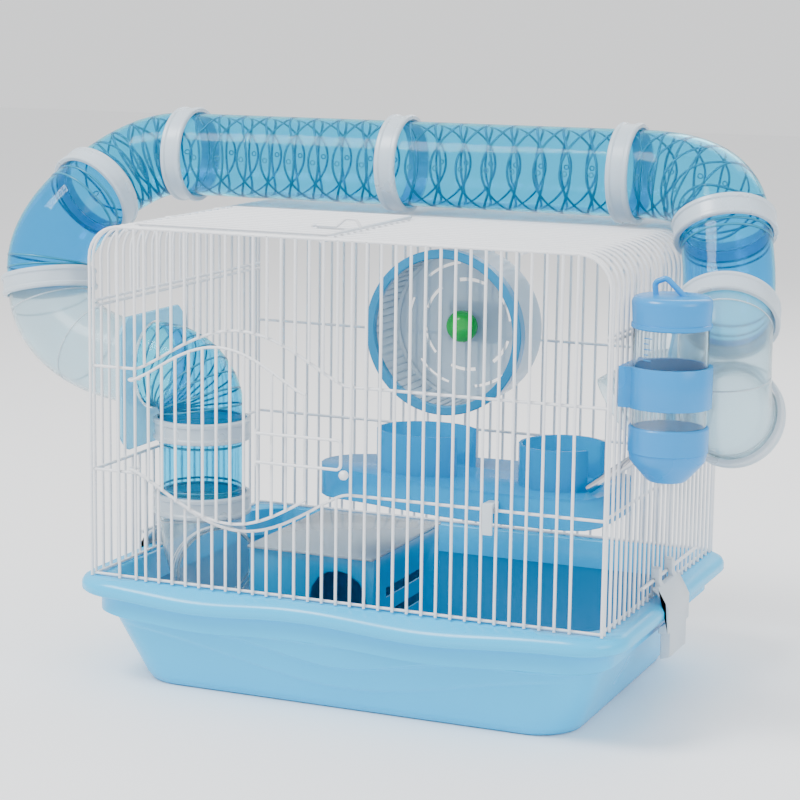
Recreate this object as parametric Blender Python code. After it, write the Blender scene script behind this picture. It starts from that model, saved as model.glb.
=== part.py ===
# A wire hamster cage on a deep plastic tray, with an outside tunnel that runs over the roof and in at
# both sides. Metres, +Z up, +X to the right and -Y to the front. The origin is the middle of the tray's underside.
import math

import bmesh
import bpy
import numpy as np
from mathutils import Matrix, Vector

# ---- driving dimensions -------------------------------------------------------------------------
CAGE_W = 0.342  # wire cage, left to right
CAGE_D = 0.239  # wire cage, front to back
CAGE_TOP = 0.2945  # roof wires above the table
LOW_RAIL_Z = 0.1395
HIGH_RAIL_Z = 0.206
SIDE_RAIL_Z = 0.2455
ROUND_R = 0.020  # bend between a side and the roof
WIRE = 0.0024
PITCH = 0.0095
GAP = 0.0003  # standing clearance between pieces that touch
WELD = 0.0006  # depth that crossing wires sink into each other

TRAY_FOOT_W = 0.298
TRAY_FOOT_D = 0.217
TRAY_WALL = 0.0025
TRAY_STEP_Z = 0.0475
TRAY_RIM_Z = 0.070
TRAY_OVERHANG = 0.0125  # lip beyond the wires
FOOT_Z = TRAY_RIM_Z + GAP  # lower ends of the wires, standing on the rim
TRAY_LIP_H = 0.010

DOOR_LEFT_X = -0.139
DOOR_W = 0.119
DOORWAY_W = 0.144
WAVE_RISE = 0.029
WAVE_DROP = 0.030
DOOR_STEP = 0.0065  # door frame below the doorway's upper rail

HATCH_X = (-0.146, -0.013)
HATCH_D = 0.123
HATCH_FRONT = 0.010  # from the front wires

TUBE_OD = 0.057
TUBE_WALL = 0.0020
COLLAR_T = 0.0030
COLLAR_L = 0.014
TUBE_SIDES = 16
TUNNEL_Y = 0.0515
LEFT_PORT = (-0.0335, 0.1945)
RIGHT_PORT = (0.0375, 0.1865)
PORT_PLATE = 0.088
PORT_PLATE_Z = 0.1865
PLATE_T = 0.0025

WHEEL_D = 0.112
WHEEL_DEPTH = 0.048
WHEEL_X = -0.0015
WHEEL_Z = 0.2160
WHEEL_BACK = 0.018  # drum to the back wires
WHEEL_WALL = 0.0020
AXLE_D = 0.006
AXLE_CLEAR = 0.0004
HUB_D = 0.022

PLATFORM_Z = 0.1295
PLATFORM_H = 0.019
PLATFORM_LOOP_H = 0.025
PLATFORM_WALL = 0.0020

HOUSE_W = 0.088
HOUSE_D = 0.110
HOUSE_H = 0.084
HOUSE_X = -0.0400
HOUSE_FRONT_Y = -0.0695
HOUSE_WALL = 0.0020
HOUSE_DOOR_W = 0.040
HOUSE_DOOR_H = 0.075

BOTTLE_D = 0.044
BOTTLE_L = 0.0567
BOTTLE_CAP_H = 0.019
BOTTLE_CUP_H = 0.033
BOTTLE_BACK_Y = -0.0685  # back of the bottle, kept clear of the right-hand bends
BOTTLE_Z = 0.1948  # lower end of the clear body
SPOUT_L = 0.050
SPOUT_D = 0.006

CLIP_W = 0.046
CLIP_T = 0.0025
CLIP_BAR_Z = 0.0835
CLIP_HOOP = 11  # the side wire behind the clip's middle
CLIP_BAR_Y = (-0.0505, 0.0705)

HALF_W = CAGE_W / 2
HALF_D = CAGE_D / 2
FLOOR_Z = TRAY_WALL
TUBE_SEAT = (TUBE_OD / 2 + GAP) / math.cos(math.pi / TUBE_SIDES)  # bore that clears a tube's flats
TUNNEL_Z = CAGE_TOP + WIRE / 2 + TUBE_SEAT + COLLAR_T + GAP


IN_COLLAR = COLLAR_L / 2 + 2 * GAP  # a tube runs straight until it is out of its collar
IN_PLATE = WIRE / 2 + PLATE_T + 2 * GAP
FREE_END = 2 * GAP

# ---- making solids ------------------------------------------------------------------------------
def clear_scene():
    for obj in list(bpy.data.objects):
        bpy.data.objects.remove(obj, do_unlink=True)


def material(name, colour, rough, metal=0.0, alpha=1.0):
    mat = bpy.data.materials.get(name) or bpy.data.materials.new(name)
    mat.use_nodes = True
    shader = mat.node_tree.nodes["Principled BSDF"]
    shader.inputs["Base Color"].default_value = (*colour, 1)
    shader.inputs["Roughness"].default_value = rough
    shader.inputs["Metallic"].default_value = metal
    shader.inputs["Alpha"].default_value = alpha
    return mat


def solid(name, verts, faces, mat, smooth=True):
    mesh = bpy.data.meshes.new(name)
    mesh.from_pydata([tuple(v) for v in verts], [], faces)
    mesh.update()
    obj = bpy.data.objects.new(name, mesh)
    bpy.context.scene.collection.objects.link(obj)
    mesh.materials.append(mat)
    face_outward(obj)
    if smooth:
        mesh.shade_smooth()
        mesh.set_sharp_from_angle(angle=math.radians(35))
    return obj


def face_outward(obj):
    bm = bmesh.new()
    bm.from_mesh(obj.data)
    bmesh.ops.recalc_face_normals(bm, faces=bm.faces)
    bm.to_mesh(obj.data)
    bm.free()


def frames_along(points):
    """A turned frame at each point of a path, carried along it without twist."""
    pts = [Vector(p) for p in points]
    tangents = []
    for i in range(len(pts)):
        before = (pts[i] - pts[i - 1]).normalized() if i else None
        after = (pts[i + 1] - pts[i]).normalized() if i + 1 < len(pts) else None
        tangents.append(((before or after) + (after or before)).normalized())
    upright = abs(tangents[0].z) > 0.9
    side = tangents[0].cross(Vector((0, 1, 0) if upright else (0, 0, 1))).normalized()
    found = []
    for i, tangent in enumerate(tangents):
        side = (side - tangent * side.dot(tangent)).normalized()
        stretch = 1.0
        if 0 < i < len(pts) - 1:
            stretch = 1 / max(0.7, tangent.dot((pts[i + 1] - pts[i]).normalized()))
        found.append((pts[i], side, tangent.cross(side), stretch))
    return found


def ring_points(frame, radius, sides, turn=0.0):
    point, side, up, _ = frame
    for i in range(sides):
        a = 2 * math.pi * i / sides + turn
        yield point + side * (radius * math.cos(a)) + up * (radius * math.sin(a))


def sweep(points, radius, sides, turn=0.0):
    """A closed rod along a path."""
    verts, faces = [], []
    frames = frames_along(points)
    for frame in frames:
        verts += ring_points(frame, radius, sides, turn)
    for k in range(len(frames) - 1):
        for i in range(sides):
            j = (i + 1) % sides
            faces.append((k * sides + i, k * sides + j, (k + 1) * sides + j, (k + 1) * sides + i))
    faces.append(tuple(range(sides)))
    faces.append(tuple(range((len(frames) - 1) * sides, len(frames) * sides)))
    return verts, faces


def pipe(points, outer, inner, sides):
    """A closed-walled open pipe along a path."""
    verts, faces = [], []
    frames = frames_along(points)
    n = len(frames)
    for radius in (outer, inner):
        for frame in frames:
            verts += ring_points(frame, radius, sides)
    for layer in range(2):
        base = layer * n * sides
        for k in range(n - 1):
            for i in range(sides):
                j = (i + 1) % sides
                a, b = base + k * sides, base + (k + 1) * sides
                faces.append((a + i, a + j, b + j, b + i))
    for k in (0, n - 1):
        for i in range(sides):
            j = (i + 1) % sides
            a, b = k * sides, (n + k) * sides
            faces.append((a + i, a + j, b + j, b + i))
    return verts, faces


def turned(profile, sides, axis_point, axis):
    """A closed (radius, height) outline turned about an axis; radius 0 makes a pole."""
    axis = Vector(axis).normalized()
    side = axis.orthogonal().normalized()
    up = axis.cross(side)
    verts, faces, rows = [], [], []
    for radius, height in profile:
        centre = Vector(axis_point) + axis * height
        if radius < 1e-6:
            rows.append([len(verts)])
            verts.append(centre)
            continue
        rows.append(range(len(verts), len(verts) + sides))
        for i in range(sides):
            a = 2 * math.pi * i / sides
            verts.append(centre + side * (radius * math.cos(a)) + up * (radius * math.sin(a)))
    for k, row in enumerate(rows):
        nxt = rows[(k + 1) % len(rows)]
        for i in range(sides):
            j = (i + 1) % sides
            if len(row) == 1 and len(nxt) == 1:
                continue
            if len(row) == 1:
                faces.append((row[0], nxt[j], nxt[i]))
            elif len(nxt) == 1:
                faces.append((row[i], row[j], nxt[0]))
            else:
                faces.append((row[i], row[j], nxt[j], nxt[i]))
    return verts, faces


def box(low, high):
    (x0, y0, z0), (x1, y1, z1) = low, high
    verts = [(x, y, z) for x in (x0, x1) for y in (y0, y1) for z in (z0, z1)]
    faces = [(0, 1, 3, 2), (4, 6, 7, 5), (0, 4, 5, 1), (2, 3, 7, 6), (0, 2, 6, 4), (1, 5, 7, 3)]
    return verts, faces


def prism(outline, low, high, place=None):
    """A flat outline given thickness from low to high along its own z, then placed."""
    n = len(outline)
    verts = [Vector((x, y, low)) for x, y in outline] + [Vector((x, y, high)) for x, y in outline]
    if place:
        verts = [place @ v for v in verts]
    faces = [tuple(reversed(range(n))), tuple(range(n, 2 * n))]
    faces += [(i, (i + 1) % n, n + (i + 1) % n, n + i) for i in range(n)]
    return verts, faces


def merged(shapes):
    verts, faces = [], []
    for more_verts, more_faces in shapes:
        base = len(verts)
        verts += more_verts
        faces += [tuple(base + i for i in face) for face in more_faces]
    return verts, faces


def combine(obj, shapes, operation, smooth=True):
    """Joins shapes to the object or cuts them from it, in one exact Boolean, and applies it."""
    tool = solid("tool", *merged(shapes), obj.data.materials[0], smooth=False)
    change = obj.modifiers.new("change", "BOOLEAN")
    change.operation = operation
    change.object = tool
    change.solver = "EXACT"
    change.use_self = operation == "UNION"
    graph = bpy.context.evaluated_depsgraph_get()
    mesh = bpy.data.meshes.new_from_object(obj.evaluated_get(graph))
    obj.modifiers.clear()
    obj.data = mesh
    bpy.data.objects.remove(tool, do_unlink=True)
    if smooth:
        mesh.shade_smooth()
        mesh.set_sharp_from_angle(angle=math.radians(35))
    return obj


def arc(centre, radius, start, end, count):
    return [
        (centre[0] + radius * math.cos(a), centre[1] + radius * math.sin(a))
        for a in np.radians(np.linspace(start, end, count))
    ]


def rounded(half_x, half_y, corner, count=5):
    points = []
    for i, (sx, sy) in enumerate(((1, 1), (-1, 1), (-1, -1), (1, -1))):
        centre = (sx * (half_x - corner), sy * (half_y - corner))
        points += arc(centre, corner, 90 * i, 90 * i + 90, count)
    return points


def wire(points, size=WIRE):
    return sweep(points, size * math.sqrt(0.5), 4, math.pi / 4)


# ---- finishes -----------------------------------------------------------------------------------
SKY = material("sky_plastic", (0.24, 0.66, 0.90), 0.35)
DEEP = material("deep_blue_plastic", (0.02, 0.36, 0.78), 0.3)
CLEAR_BLUE = material("clear_blue_plastic", (0.10, 0.60, 0.85), 0.08, alpha=0.55)
CLEAR = material("clear_plastic", (0.75, 0.88, 0.92), 0.08, alpha=0.35)
MILKY = material("milky_plastic", (0.75, 0.86, 0.92), 0.4)
WHITE_WIRE = material("white_coated_wire", (0.88, 0.90, 0.92), 0.35)
GREEN = material("green_plastic", (0.05, 0.60, 0.20), 0.3)
STEEL = material("steel", (0.7, 0.7, 0.72), 0.2, metal=1.0)


# ---- tray ---------------------------------------------------------------------------------------
def make_tray():
    """One moulding: floor, sloping walls, a step, and a lip that hooks outwards round the wires."""
    foot = (TRAY_FOOT_W / 2, TRAY_FOOT_D / 2)
    lip = (HALF_W + TRAY_OVERHANG, HALF_D + TRAY_OVERHANG)
    step = (HALF_W + 0.0015, HALF_D + 0.0065)
    wall = (step[0] - 0.0065, step[1] - 0.006)
    corner = 0.028
    outer = [
        (foot[0] - 0.005, foot[1] - 0.005, 0.0),
        (foot[0], foot[1], 0.005),
        (wall[0], wall[1], TRAY_STEP_Z - 0.003),
        (step[0], step[1], TRAY_STEP_Z),
        (step[0], step[1], TRAY_RIM_Z - TRAY_LIP_H),
        (lip[0], lip[1], TRAY_RIM_Z - TRAY_LIP_H + 0.001),
        (lip[0], lip[1], TRAY_RIM_Z - 0.004),
        (lip[0] - 0.004, lip[1] - 0.004, TRAY_RIM_Z),
    ]
    t = TRAY_WALL
    inside = HALF_W - WIRE - 0.002, HALF_D - WIRE - 0.002
    inner = [
        (inside[0], inside[1], TRAY_RIM_Z),
        (inside[0], inside[1], TRAY_STEP_Z + t),
        (wall[0] - t, min(inside[1], wall[1] - t), TRAY_STEP_Z - 0.003 + t),
        (foot[0] - t, foot[1] - t, 0.005 + t),
        (foot[0] - t - 0.004, foot[1] - t - 0.004, FLOOR_Z),
    ]
    verts, faces = [], []
    rings = outer + inner
    count = len(rounded(1, 1, 0.5))
    for hx, hy, z in rings:
        verts += [(x, y, z) for x, y in rounded(hx, hy, corner)]
    for k in range(len(rings) - 1):
        for i in range(count):
            j = (i + 1) % count
            faces.append((k * count + i, k * count + j, (k + 1) * count + j, (k + 1) * count + i))
    faces.append(tuple(reversed(range(count))))
    faces.append(tuple(range((len(rings) - 1) * count, len(rings) * count)))
    return solid("tray", verts, faces, SKY)


# ---- wire panels --------------------------------------------------------------------------------
def wave(start_x, end_x, base_z, height, count=9):
    """The doorway's waved rail: one smooth hump between two level runs."""
    xs = np.linspace(start_x, end_x, count)
    return [(x, base_z + height * math.sin(math.pi * (x - start_x) / (end_x - start_x)) ** 1.2) for x in xs]


def wave_height(x, start_x, end_x, base_z, height):
    if not start_x < x < end_x:
        return base_z
    return float(np.interp(x, *zip(*wave(start_x, end_x, base_z, height))))


def column_places(width):
    count = round((width - 2 * ROUND_R) / PITCH)
    return np.linspace(-width / 2 + ROUND_R, width / 2 - ROUND_R, count + 1)


def frame_outline(y):
    """The panel's outer wire: up one side, round the roof bend and down the other."""
    left, right, top = -HALF_W, HALF_W, CAGE_TOP
    path = [(left, FOOT_Z)]
    path += arc((left + ROUND_R, top - ROUND_R), ROUND_R, 180, 90, 4)
    path += arc((right - ROUND_R, top - ROUND_R), ROUND_R, 90, 0, 4)
    path += [(right, FOOT_Z)]
    return [(x, y, z) for x, z in path]


def make_front_panel():
    y = -HALF_D
    back = y + WIRE - WELD
    right = DOOR_LEFT_X + DOORWAY_W
    inset = HALF_W - WIRE * 0.3
    rails = [wire([(x, back, z) for x, z in ((-inset, FOOT_Z + WIRE), (inset, FOOT_Z + WIRE))])]
    for base, height in ((HIGH_RAIL_Z, WAVE_RISE), (LOW_RAIL_Z, -WAVE_DROP)):
        bend = wave(DOOR_LEFT_X, right, base, height)
        path = [(-inset, base)] + bend + [(inset, base)]
        rails.append(wire([(x, back, z) for x, z in path]))
    frame = solid("cage_front_panel", *wire(frame_outline(y)), WHITE_WIRE)
    bars = []
    near_hinge = DOOR_LEFT_X + WIRE
    for x in [DOOR_LEFT_X] + list(column_places(CAGE_W)):
        in_doorway = near_hinge < x < right - WIRE
        if x != DOOR_LEFT_X and abs(x - DOOR_LEFT_X) < 2 * WIRE:
            continue
        if not in_doorway:
            bars.append(wire([(x, y, FOOT_Z), (x, y, CAGE_TOP)]))
            continue
        high = wave_height(x, DOOR_LEFT_X, right, HIGH_RAIL_Z, WAVE_RISE)
        low = wave_height(x, DOOR_LEFT_X, right, LOW_RAIL_Z, -WAVE_DROP)
        bars.append(wire([(x, y, high), (x, y, CAGE_TOP)]))
        bars.append(wire([(x, y, FOOT_Z), (x, y, low)]))
    return combine(frame, rails + bars, "UNION")


def make_back_panel():
    y = HALF_D
    front = y - WIRE + WELD
    inset = HALF_W - WIRE * 0.3
    frame = solid("cage_back_panel", *wire(frame_outline(y)), WHITE_WIRE)
    rails = [wire([(-inset, front, FOOT_Z + WIRE), (inset, front, FOOT_Z + WIRE)])]
    bars = [wire([(x, y, FOOT_Z), (x, y, CAGE_TOP)]) for x in column_places(CAGE_W)]
    for name, z in (("back_lower_rail", LOW_RAIL_Z), ("back_upper_rail", HIGH_RAIL_Z)):
        rail_y = y - WIRE - GAP
        rail_end = HALF_W - 2 * WIRE
        solid(name, *wire([(-rail_end, rail_y, z), (rail_end, rail_y, z)]), WHITE_WIRE)
    return combine(frame, rails + bars, "UNION")


def hoop_places():
    """The side and roof wires lie between the front and back frames."""
    room = CAGE_D - 4 * WIRE
    count = round(room / PITCH)
    return np.linspace(-room / 2, room / 2, count + 1)


def make_side_top_wrap():
    """The sides and roof are one sheet of wires, bent over at both edges, with rails welded inside."""
    left, right, top = -HALF_W, HALF_W, CAGE_TOP
    r = ROUND_R
    half_port = PORT_PLATE / 2 - 0.006
    hatch_y = (-HALF_D + HATCH_FRONT, -HALF_D + HATCH_FRONT + HATCH_D)
    bend_l = arc((left + r, top - r), r, 180, 90, 4)
    bend_r = arc((right - r, top - r), r, 90, 0, 4)
    hoops = []
    for y in hoop_places():
        runs = [[(left, FOOT_Z)] + bend_l + bend_r + [(right, FOOT_Z)]]
        if hatch_y[0] < y < hatch_y[1]:
            runs = [[(left, FOOT_Z)] + bend_l + [(HATCH_X[0], top)], [(HATCH_X[1], top)] + bend_r + [(right, FOOT_Z)]]
        if abs(y - LEFT_PORT[0]) < half_port:
            runs[0] = [(left, SIDE_RAIL_Z)] + runs[0][1:]
            runs.append([(left, FOOT_Z), (left, LOW_RAIL_Z)])
        if abs(y - RIGHT_PORT[0]) < half_port:
            runs_index = next(i for i, run in enumerate(runs) if run[-1] == (right, FOOT_Z))
            runs[runs_index] = runs[runs_index][:-1] + [(right, SIDE_RAIL_Z)]
            runs.append([(right, FOOT_Z), (right, LOW_RAIL_Z)])
        hoops += [wire([(x, y, z) for x, z in run]) for run in runs]
    end = HALF_D - 1.5 * WIRE
    inside = WIRE - WELD
    rails = []
    for x in (left + inside, right - inside):
        for z in (FOOT_Z + WIRE, LOW_RAIL_Z, SIDE_RAIL_Z):
            rails.append([(x, -end, z), (x, end, z)])
    for x in (HATCH_X[0], HATCH_X[1], HALF_W - 0.056):
        rails.append([(x, -end, top - inside), (x, end, top - inside)])
    rail_shapes = [wire(rail) for rail in rails]
    for y in hatch_y:
        rail_shapes.append(wire([(HATCH_X[0], y, top), (HATCH_X[1], y, top)]))
    body = solid("cage_side_top_wrap", *hoops[0], WHITE_WIRE)
    return combine(body, hoops[1:] + rail_shapes, "UNION")


# ---- front door ---------------------------------------------------------------------------------
def door_edge(base, height, span, right):
    """The door's own waved wire, inside the doorway's."""
    xs, zs = zip(*wave(DOOR_LEFT_X, DOOR_LEFT_X + span, base, height))
    return [(x, float(np.interp(x, xs, zs))) for x in np.linspace(DOOR_LEFT_X, right, 8)]


def make_front_door():
    y = -HALF_D
    right = DOOR_LEFT_X + DOOR_W
    high = door_edge(HIGH_RAIL_Z - DOOR_STEP, WAVE_RISE - 0.004, DOOR_W, right)
    low = door_edge(LOW_RAIL_Z + 0.003, 0.002 - WAVE_DROP, DOORWAY_W - 0.009, right)
    hook_r = WIRE * 0.5 + GAP + WIRE * 0.5
    front = y - hook_r
    first = DOOR_LEFT_X + PITCH + WIRE
    shapes = []
    for edge in (high, low):
        z = edge[0][1]
        curl = [
            (DOOR_LEFT_X + hook_r * 1.3 * math.cos(a), y + hook_r * 1.3 * math.sin(a), z)
            for a in np.radians(np.linspace(60, 270, 8))
        ]
        shapes.append(curl + [(x, front, ez) for x, ez in edge[1:]])
    bars = [first]
    while bars[-1] + PITCH < right - PITCH / 2:
        bars.append(bars[-1] + PITCH)
    bars.append(right)
    sink = WIRE - WELD
    for x in bars:
        top = float(np.interp(x, *zip(*high)))
        bottom = float(np.interp(x, *zip(*low)))
        depth = front if x == right else front - sink
        shapes.append([(x, depth, bottom), (x, depth, top)])
    door = solid("front_door", *wire(shapes[0]), WHITE_WIRE)
    return combine(door, [wire(s) for s in shapes[1:]], "UNION"), front, bars


def make_door_latch(front, bars):
    """A sliding wire bolt: two rods and an end bar, with a small finger knob."""
    y = front - 2 * WIRE + WELD - GAP
    z_high, z_low = 0.1745, 0.1565
    left = bars[-4]
    right = DOOR_LEFT_X + DOORWAY_W + 0.001
    rod = [(left, y, z_high), (right, y, z_high), (right, y, z_low), (left, y, z_low)]
    body = solid("door_latch", *wire(rod), WHITE_WIRE)
    tail = wire([(left, y, z_low - WIRE), (left, y, z_high + WIRE)])
    knob = turned([(0, -0.002), (0.003, -0.002), (0.003, 0.005), (0, 0.005)], 8, (right, y, z_low - 0.003), (1, 0, 0))
    return combine(body, [tail, knob], "UNION")


# ---- roof hatch ---------------------------------------------------------------------------------
def make_hatch():
    """Its frame lies on top of the roof wires and curls round the crosswire that it turns on."""
    z = CAGE_TOP + WIRE + GAP
    y0 = -HALF_D + HATCH_FRONT - WIRE
    y1 = -HALF_D + HATCH_FRONT + HATCH_D + WIRE
    x0, x1 = HATCH_X[0], HATCH_X[1] + 0.004
    hook_r = (WIRE + GAP) * 1.3
    axis_z = CAGE_TOP - WIRE + WELD
    x_bar, r = x0 + 0.006, WIRE / 2
    outline = box((x_bar - r, y0 - r, z - r), (x1 + r, y1 + r, z + r))
    body = solid("top_hatch", *outline, WHITE_WIRE)
    body = combine(body, [box((x_bar + r, y0 + r, z - WIRE), (x1 - r, y1 - r, z + WIRE))], "DIFFERENCE")
    ys = np.linspace(y0, y1, round((y1 - y0) / PITCH) + 1)
    bars = [wire([(x_bar, y, z), (x1, y, z)], WIRE - 2 * GAP / 3) for y in ys[1:-1]]
    body = combine(body, bars, "UNION")
    curls = []
    hoops = hoop_places()
    for y in (hoops[5] + PITCH / 2, hoops[12] + PITCH / 2):
        curl = [
            (x0 + hook_r * math.cos(a), y, axis_z + hook_r * math.sin(a))
            for a in np.radians(np.linspace(300, 90, 8))
        ]
        curls.append(wire(curl + [(x_bar + WIRE, y, z + WELD / 2)]))
    return combine(body, curls, "UNION"), axis_z


def make_hatch_latch():
    """A bent wire hook that slides along the hatch's free edge and under the roof crosswire."""
    z = CAGE_TOP + 2 * WIRE + 2 * GAP
    y = -HALF_D + 0.035
    x1 = HATCH_X[1]
    path = [(x1 - 0.018, y, z), (x1 - 0.004, y, z), (x1 + 0.002, y, z + 0.005), (x1 + 0.009, y, z + 0.005), (x1 + 0.012, y, z)]
    body = solid("hatch_latch", *wire(path), WHITE_WIRE)
    foot = wire([(x1 - 0.018, y - 0.006, z), (x1 - 0.018, y + 0.006, z)])
    return combine(body, [foot], "UNION")


# ---- side clips ---------------------------------------------------------------------------------
def clip_middle():
    return float(hoop_places()[CLIP_HOOP])


def make_clip(name, sign):
    """A sprung plastic tongue whose two hooks turn on a short bar, between the side wires, and whose foot grips the lip."""
    lip_x = HALF_W + TRAY_OVERHANG + GAP
    bar_x = HALF_W + WIRE + GAP
    half = CLIP_W / 2
    bar_r = WIRE / 2
    top = CLIP_BAR_Z + 0.008
    y = clip_middle()
    pitch = hoop_places()[1] - hoop_places()[0]
    hook_mid, hook_half = 1.5 * pitch, (pitch - WIRE) / 2 - GAP
    side_profile = [
        (bar_x + bar_r + GAP, CLIP_BAR_Z - 0.004),
        (bar_x + bar_r + GAP, CLIP_BAR_Z + bar_r + GAP),
        (bar_x - bar_r, CLIP_BAR_Z + bar_r + GAP),
        (bar_x - bar_r, top),
        (bar_x + bar_r + GAP + CLIP_T, top),
        (bar_x + bar_r + GAP + CLIP_T, CLIP_BAR_Z),
        (lip_x + CLIP_T, TRAY_RIM_Z - 0.002),
        (lip_x + CLIP_T, 0.036),
        (lip_x - 0.004, 0.034),
        (lip_x - 0.004, TRAY_RIM_Z - TRAY_LIP_H - 0.004),
        (lip_x, TRAY_RIM_Z - TRAY_LIP_H - 0.002),
        (lip_x, TRAY_RIM_Z + 0.001),
    ]
    place = Matrix(((1, 0, 0, 0), (0, 0, -1, 0), (0, 1, 0, 0), (0, 0, 0, 1)))
    if sign < 0:
        place = Matrix.Scale(-1, 4, (1, 0, 0)) @ place
    clip = solid(name, *prism(side_profile, -y - half, half - y, place), MILKY)
    low_x, high_x = bar_x - 0.01, lip_x + 0.02
    if sign < 0:
        low_x, high_x = -high_x, -low_x
    inner = hook_mid - hook_half
    cuts = [box((low_x, y - inner, CLIP_BAR_Z - 0.003), (high_x, y + inner, top + 0.01))]
    for side in (-1, 1):
        ends = sorted((y + side * (hook_mid + hook_half), y + side * (half + 0.01)))
        cuts.append(box((low_x, ends[0], CLIP_BAR_Z - 0.003), (high_x, ends[1], top + 0.01)))
        cuts.append(box((low_x, ends[0], 0.02), (high_x, ends[1], 0.052)))
    return combine(clip, cuts, "DIFFERENCE", smooth=False)


def make_clip_bar(name, sign):
    x = sign * (HALF_W + WIRE + GAP)
    return solid(name, *sweep([(x, y, CLIP_BAR_Z) for y in CLIP_BAR_Y], WIRE / 2, 8), WHITE_WIRE)


# ---- tunnel -------------------------------------------------------------------------------------
def run_between(start, start_dir, end, end_dir, leads, count=5):
    """A smooth centre line between two collars: straight inside each one, and one curve between them."""
    d0, d1 = Vector(start_dir).normalized(), Vector(end_dir).normalized()
    a, b = Vector(start) + d0 * leads[0], Vector(end) - d1 * leads[1]
    chord, cosine = b - a, d0.dot(d1)
    turn = math.acos(cosine)
    # The corner where the two straight runs would nearly meet is reach[0] and reach[1] away.
    reach = np.linalg.solve([[1, cosine], [cosine, 1]], [chord.dot(d0), chord.dot(d1)])
    share = (4 / 3) * math.tan(turn / 4) / math.tan(turn / 2)
    grip = np.clip(reach * share, 0.25 * chord.length, 0.9 * chord.length)
    points = [Vector(start) + d0 * GAP]
    for t in np.linspace(0, 1, count):
        s = 1 - t
        first, second = a + d0 * grip[0], b - d1 * grip[1]
        points.append(a * s**3 + first * (3 * s * s * t) + second * (3 * s * t * t) + b * t**3)
    points.append(Vector(end) - d1 * GAP)
    return points


def tunnel_frames():
    """Where each collar sits and which way the tunnel runs through it."""
    top_z = TUNNEL_Z
    left, right = -HALF_W, HALF_W
    start = Vector((left - 0.019, TUNNEL_Y, top_z))
    end = Vector((right - 0.044, TUNNEL_Y, top_z))
    top = [(start, (1, 0, 0)), ((start + end) / 2, (1, 0, 0)), (end, (1, 0, 0))]
    left_run = [
        (start, (-1, 0, 0)),
        (Vector((left - 0.074, TUNNEL_Y - 0.036, top_z - 0.0265)), (-0.24, -0.86, -0.46)),
        (Vector((left - 0.0905, TUNNEL_Y - 0.0705, top_z - 0.086)), (0.20, -0.19, -0.96)),
        (Vector((left, *LEFT_PORT)), (1, 0, 0)),
    ]
    right_run = [
        (end, (1, 0, 0)),
        (Vector((right + 0.029, TUNNEL_Y - 0.0365, top_z - 0.0285)), (0.28, -0.53, -0.80)),
        (Vector((right + 0.0415, TUNNEL_Y - 0.0715, top_z - 0.0775)), (0.18, -0.76, -0.62)),
        (Vector((right + 0.044, TUNNEL_Y - 0.061, top_z - 0.1395)), (-0.05, 0.94, -0.35)),
        (Vector((right, *RIGHT_PORT)), (-1, 0, 0)),
    ]
    return top, left_run, right_run


def collar(name, place, direction):
    inner = TUBE_SEAT
    outer = inner + COLLAR_T
    half = COLLAR_L / 2
    profile = [(outer, -half), (outer, half), (inner, half), (inner, -half)]
    return solid(name, *turned(profile, TUBE_SIDES, place, direction), MILKY)


def tunnel_piece(name, first, last, mat, leads=(IN_COLLAR, IN_COLLAR)):
    points = run_between(*first, *last, leads)
    return solid(name, *pipe(points, TUBE_OD / 2, TUBE_OD / 2 - TUBE_WALL, TUBE_SIDES), mat)


def straight_piece(name, first, last, mat):
    a, b = Vector(first), Vector(last)
    step = (b - a).normalized() * GAP
    return solid(name, *pipe([a + step, b - step], TUBE_OD / 2, TUBE_OD / 2 - TUBE_WALL, TUBE_SIDES), mat)


def port_plate(name, port, x_panel, sign):
    """A square plate outside the wires, with a round socket that the tunnel plugs into."""
    y, z = port
    half = PORT_PLATE / 2
    mid = PORT_PLATE_Z
    near = x_panel + sign * (WIRE / 2 + GAP)
    far = near + sign * PLATE_T
    low = (min(near, far), y - half, mid - half)
    high = (max(near, far), y + half, mid + half)
    plate = solid(name, *box(low, high), CLEAR_BLUE)
    hole = [(0, -0.02), (TUBE_SEAT, -0.02), (TUBE_SEAT, 0.02), (0, 0.02)]
    hole = turned(hole, TUBE_SIDES, (x_panel, y, z), (1, 0, 0))
    return combine(plate, [hole], "DIFFERENCE", smooth=False)


def make_tunnel():
    top, left_run, right_run = tunnel_frames()
    for i, (place, direction) in enumerate(top):
        collar(f"top_collar_{i + 1}", place, direction)
    straight_piece("top_tube_left", top[0][0], top[1][0], CLEAR_BLUE)
    straight_piece("top_tube_right", top[1][0], top[2][0], CLEAR_BLUE)
    for i in (1, 2):
        collar(f"left_collar_{i}", *left_run[i])
    for i in (1, 2, 3):
        collar(f"right_collar_{i}", *right_run[i])
    kinds = (
        ("left_elbow", left_run, (CLEAR_BLUE, CLEAR_BLUE, CLEAR)),
        ("right_elbow", right_run, (CLEAR_BLUE, CLEAR_BLUE, CLEAR, CLEAR)),
    )
    for base, run, mats in kinds:
        for i, mat in enumerate(mats):
            leads = (IN_COLLAR, IN_PLATE if run[i + 1] is run[-1] else IN_COLLAR)
            tunnel_piece(f"{base}_{i + 1}", run[i], run[i + 1], mat, leads)


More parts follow.
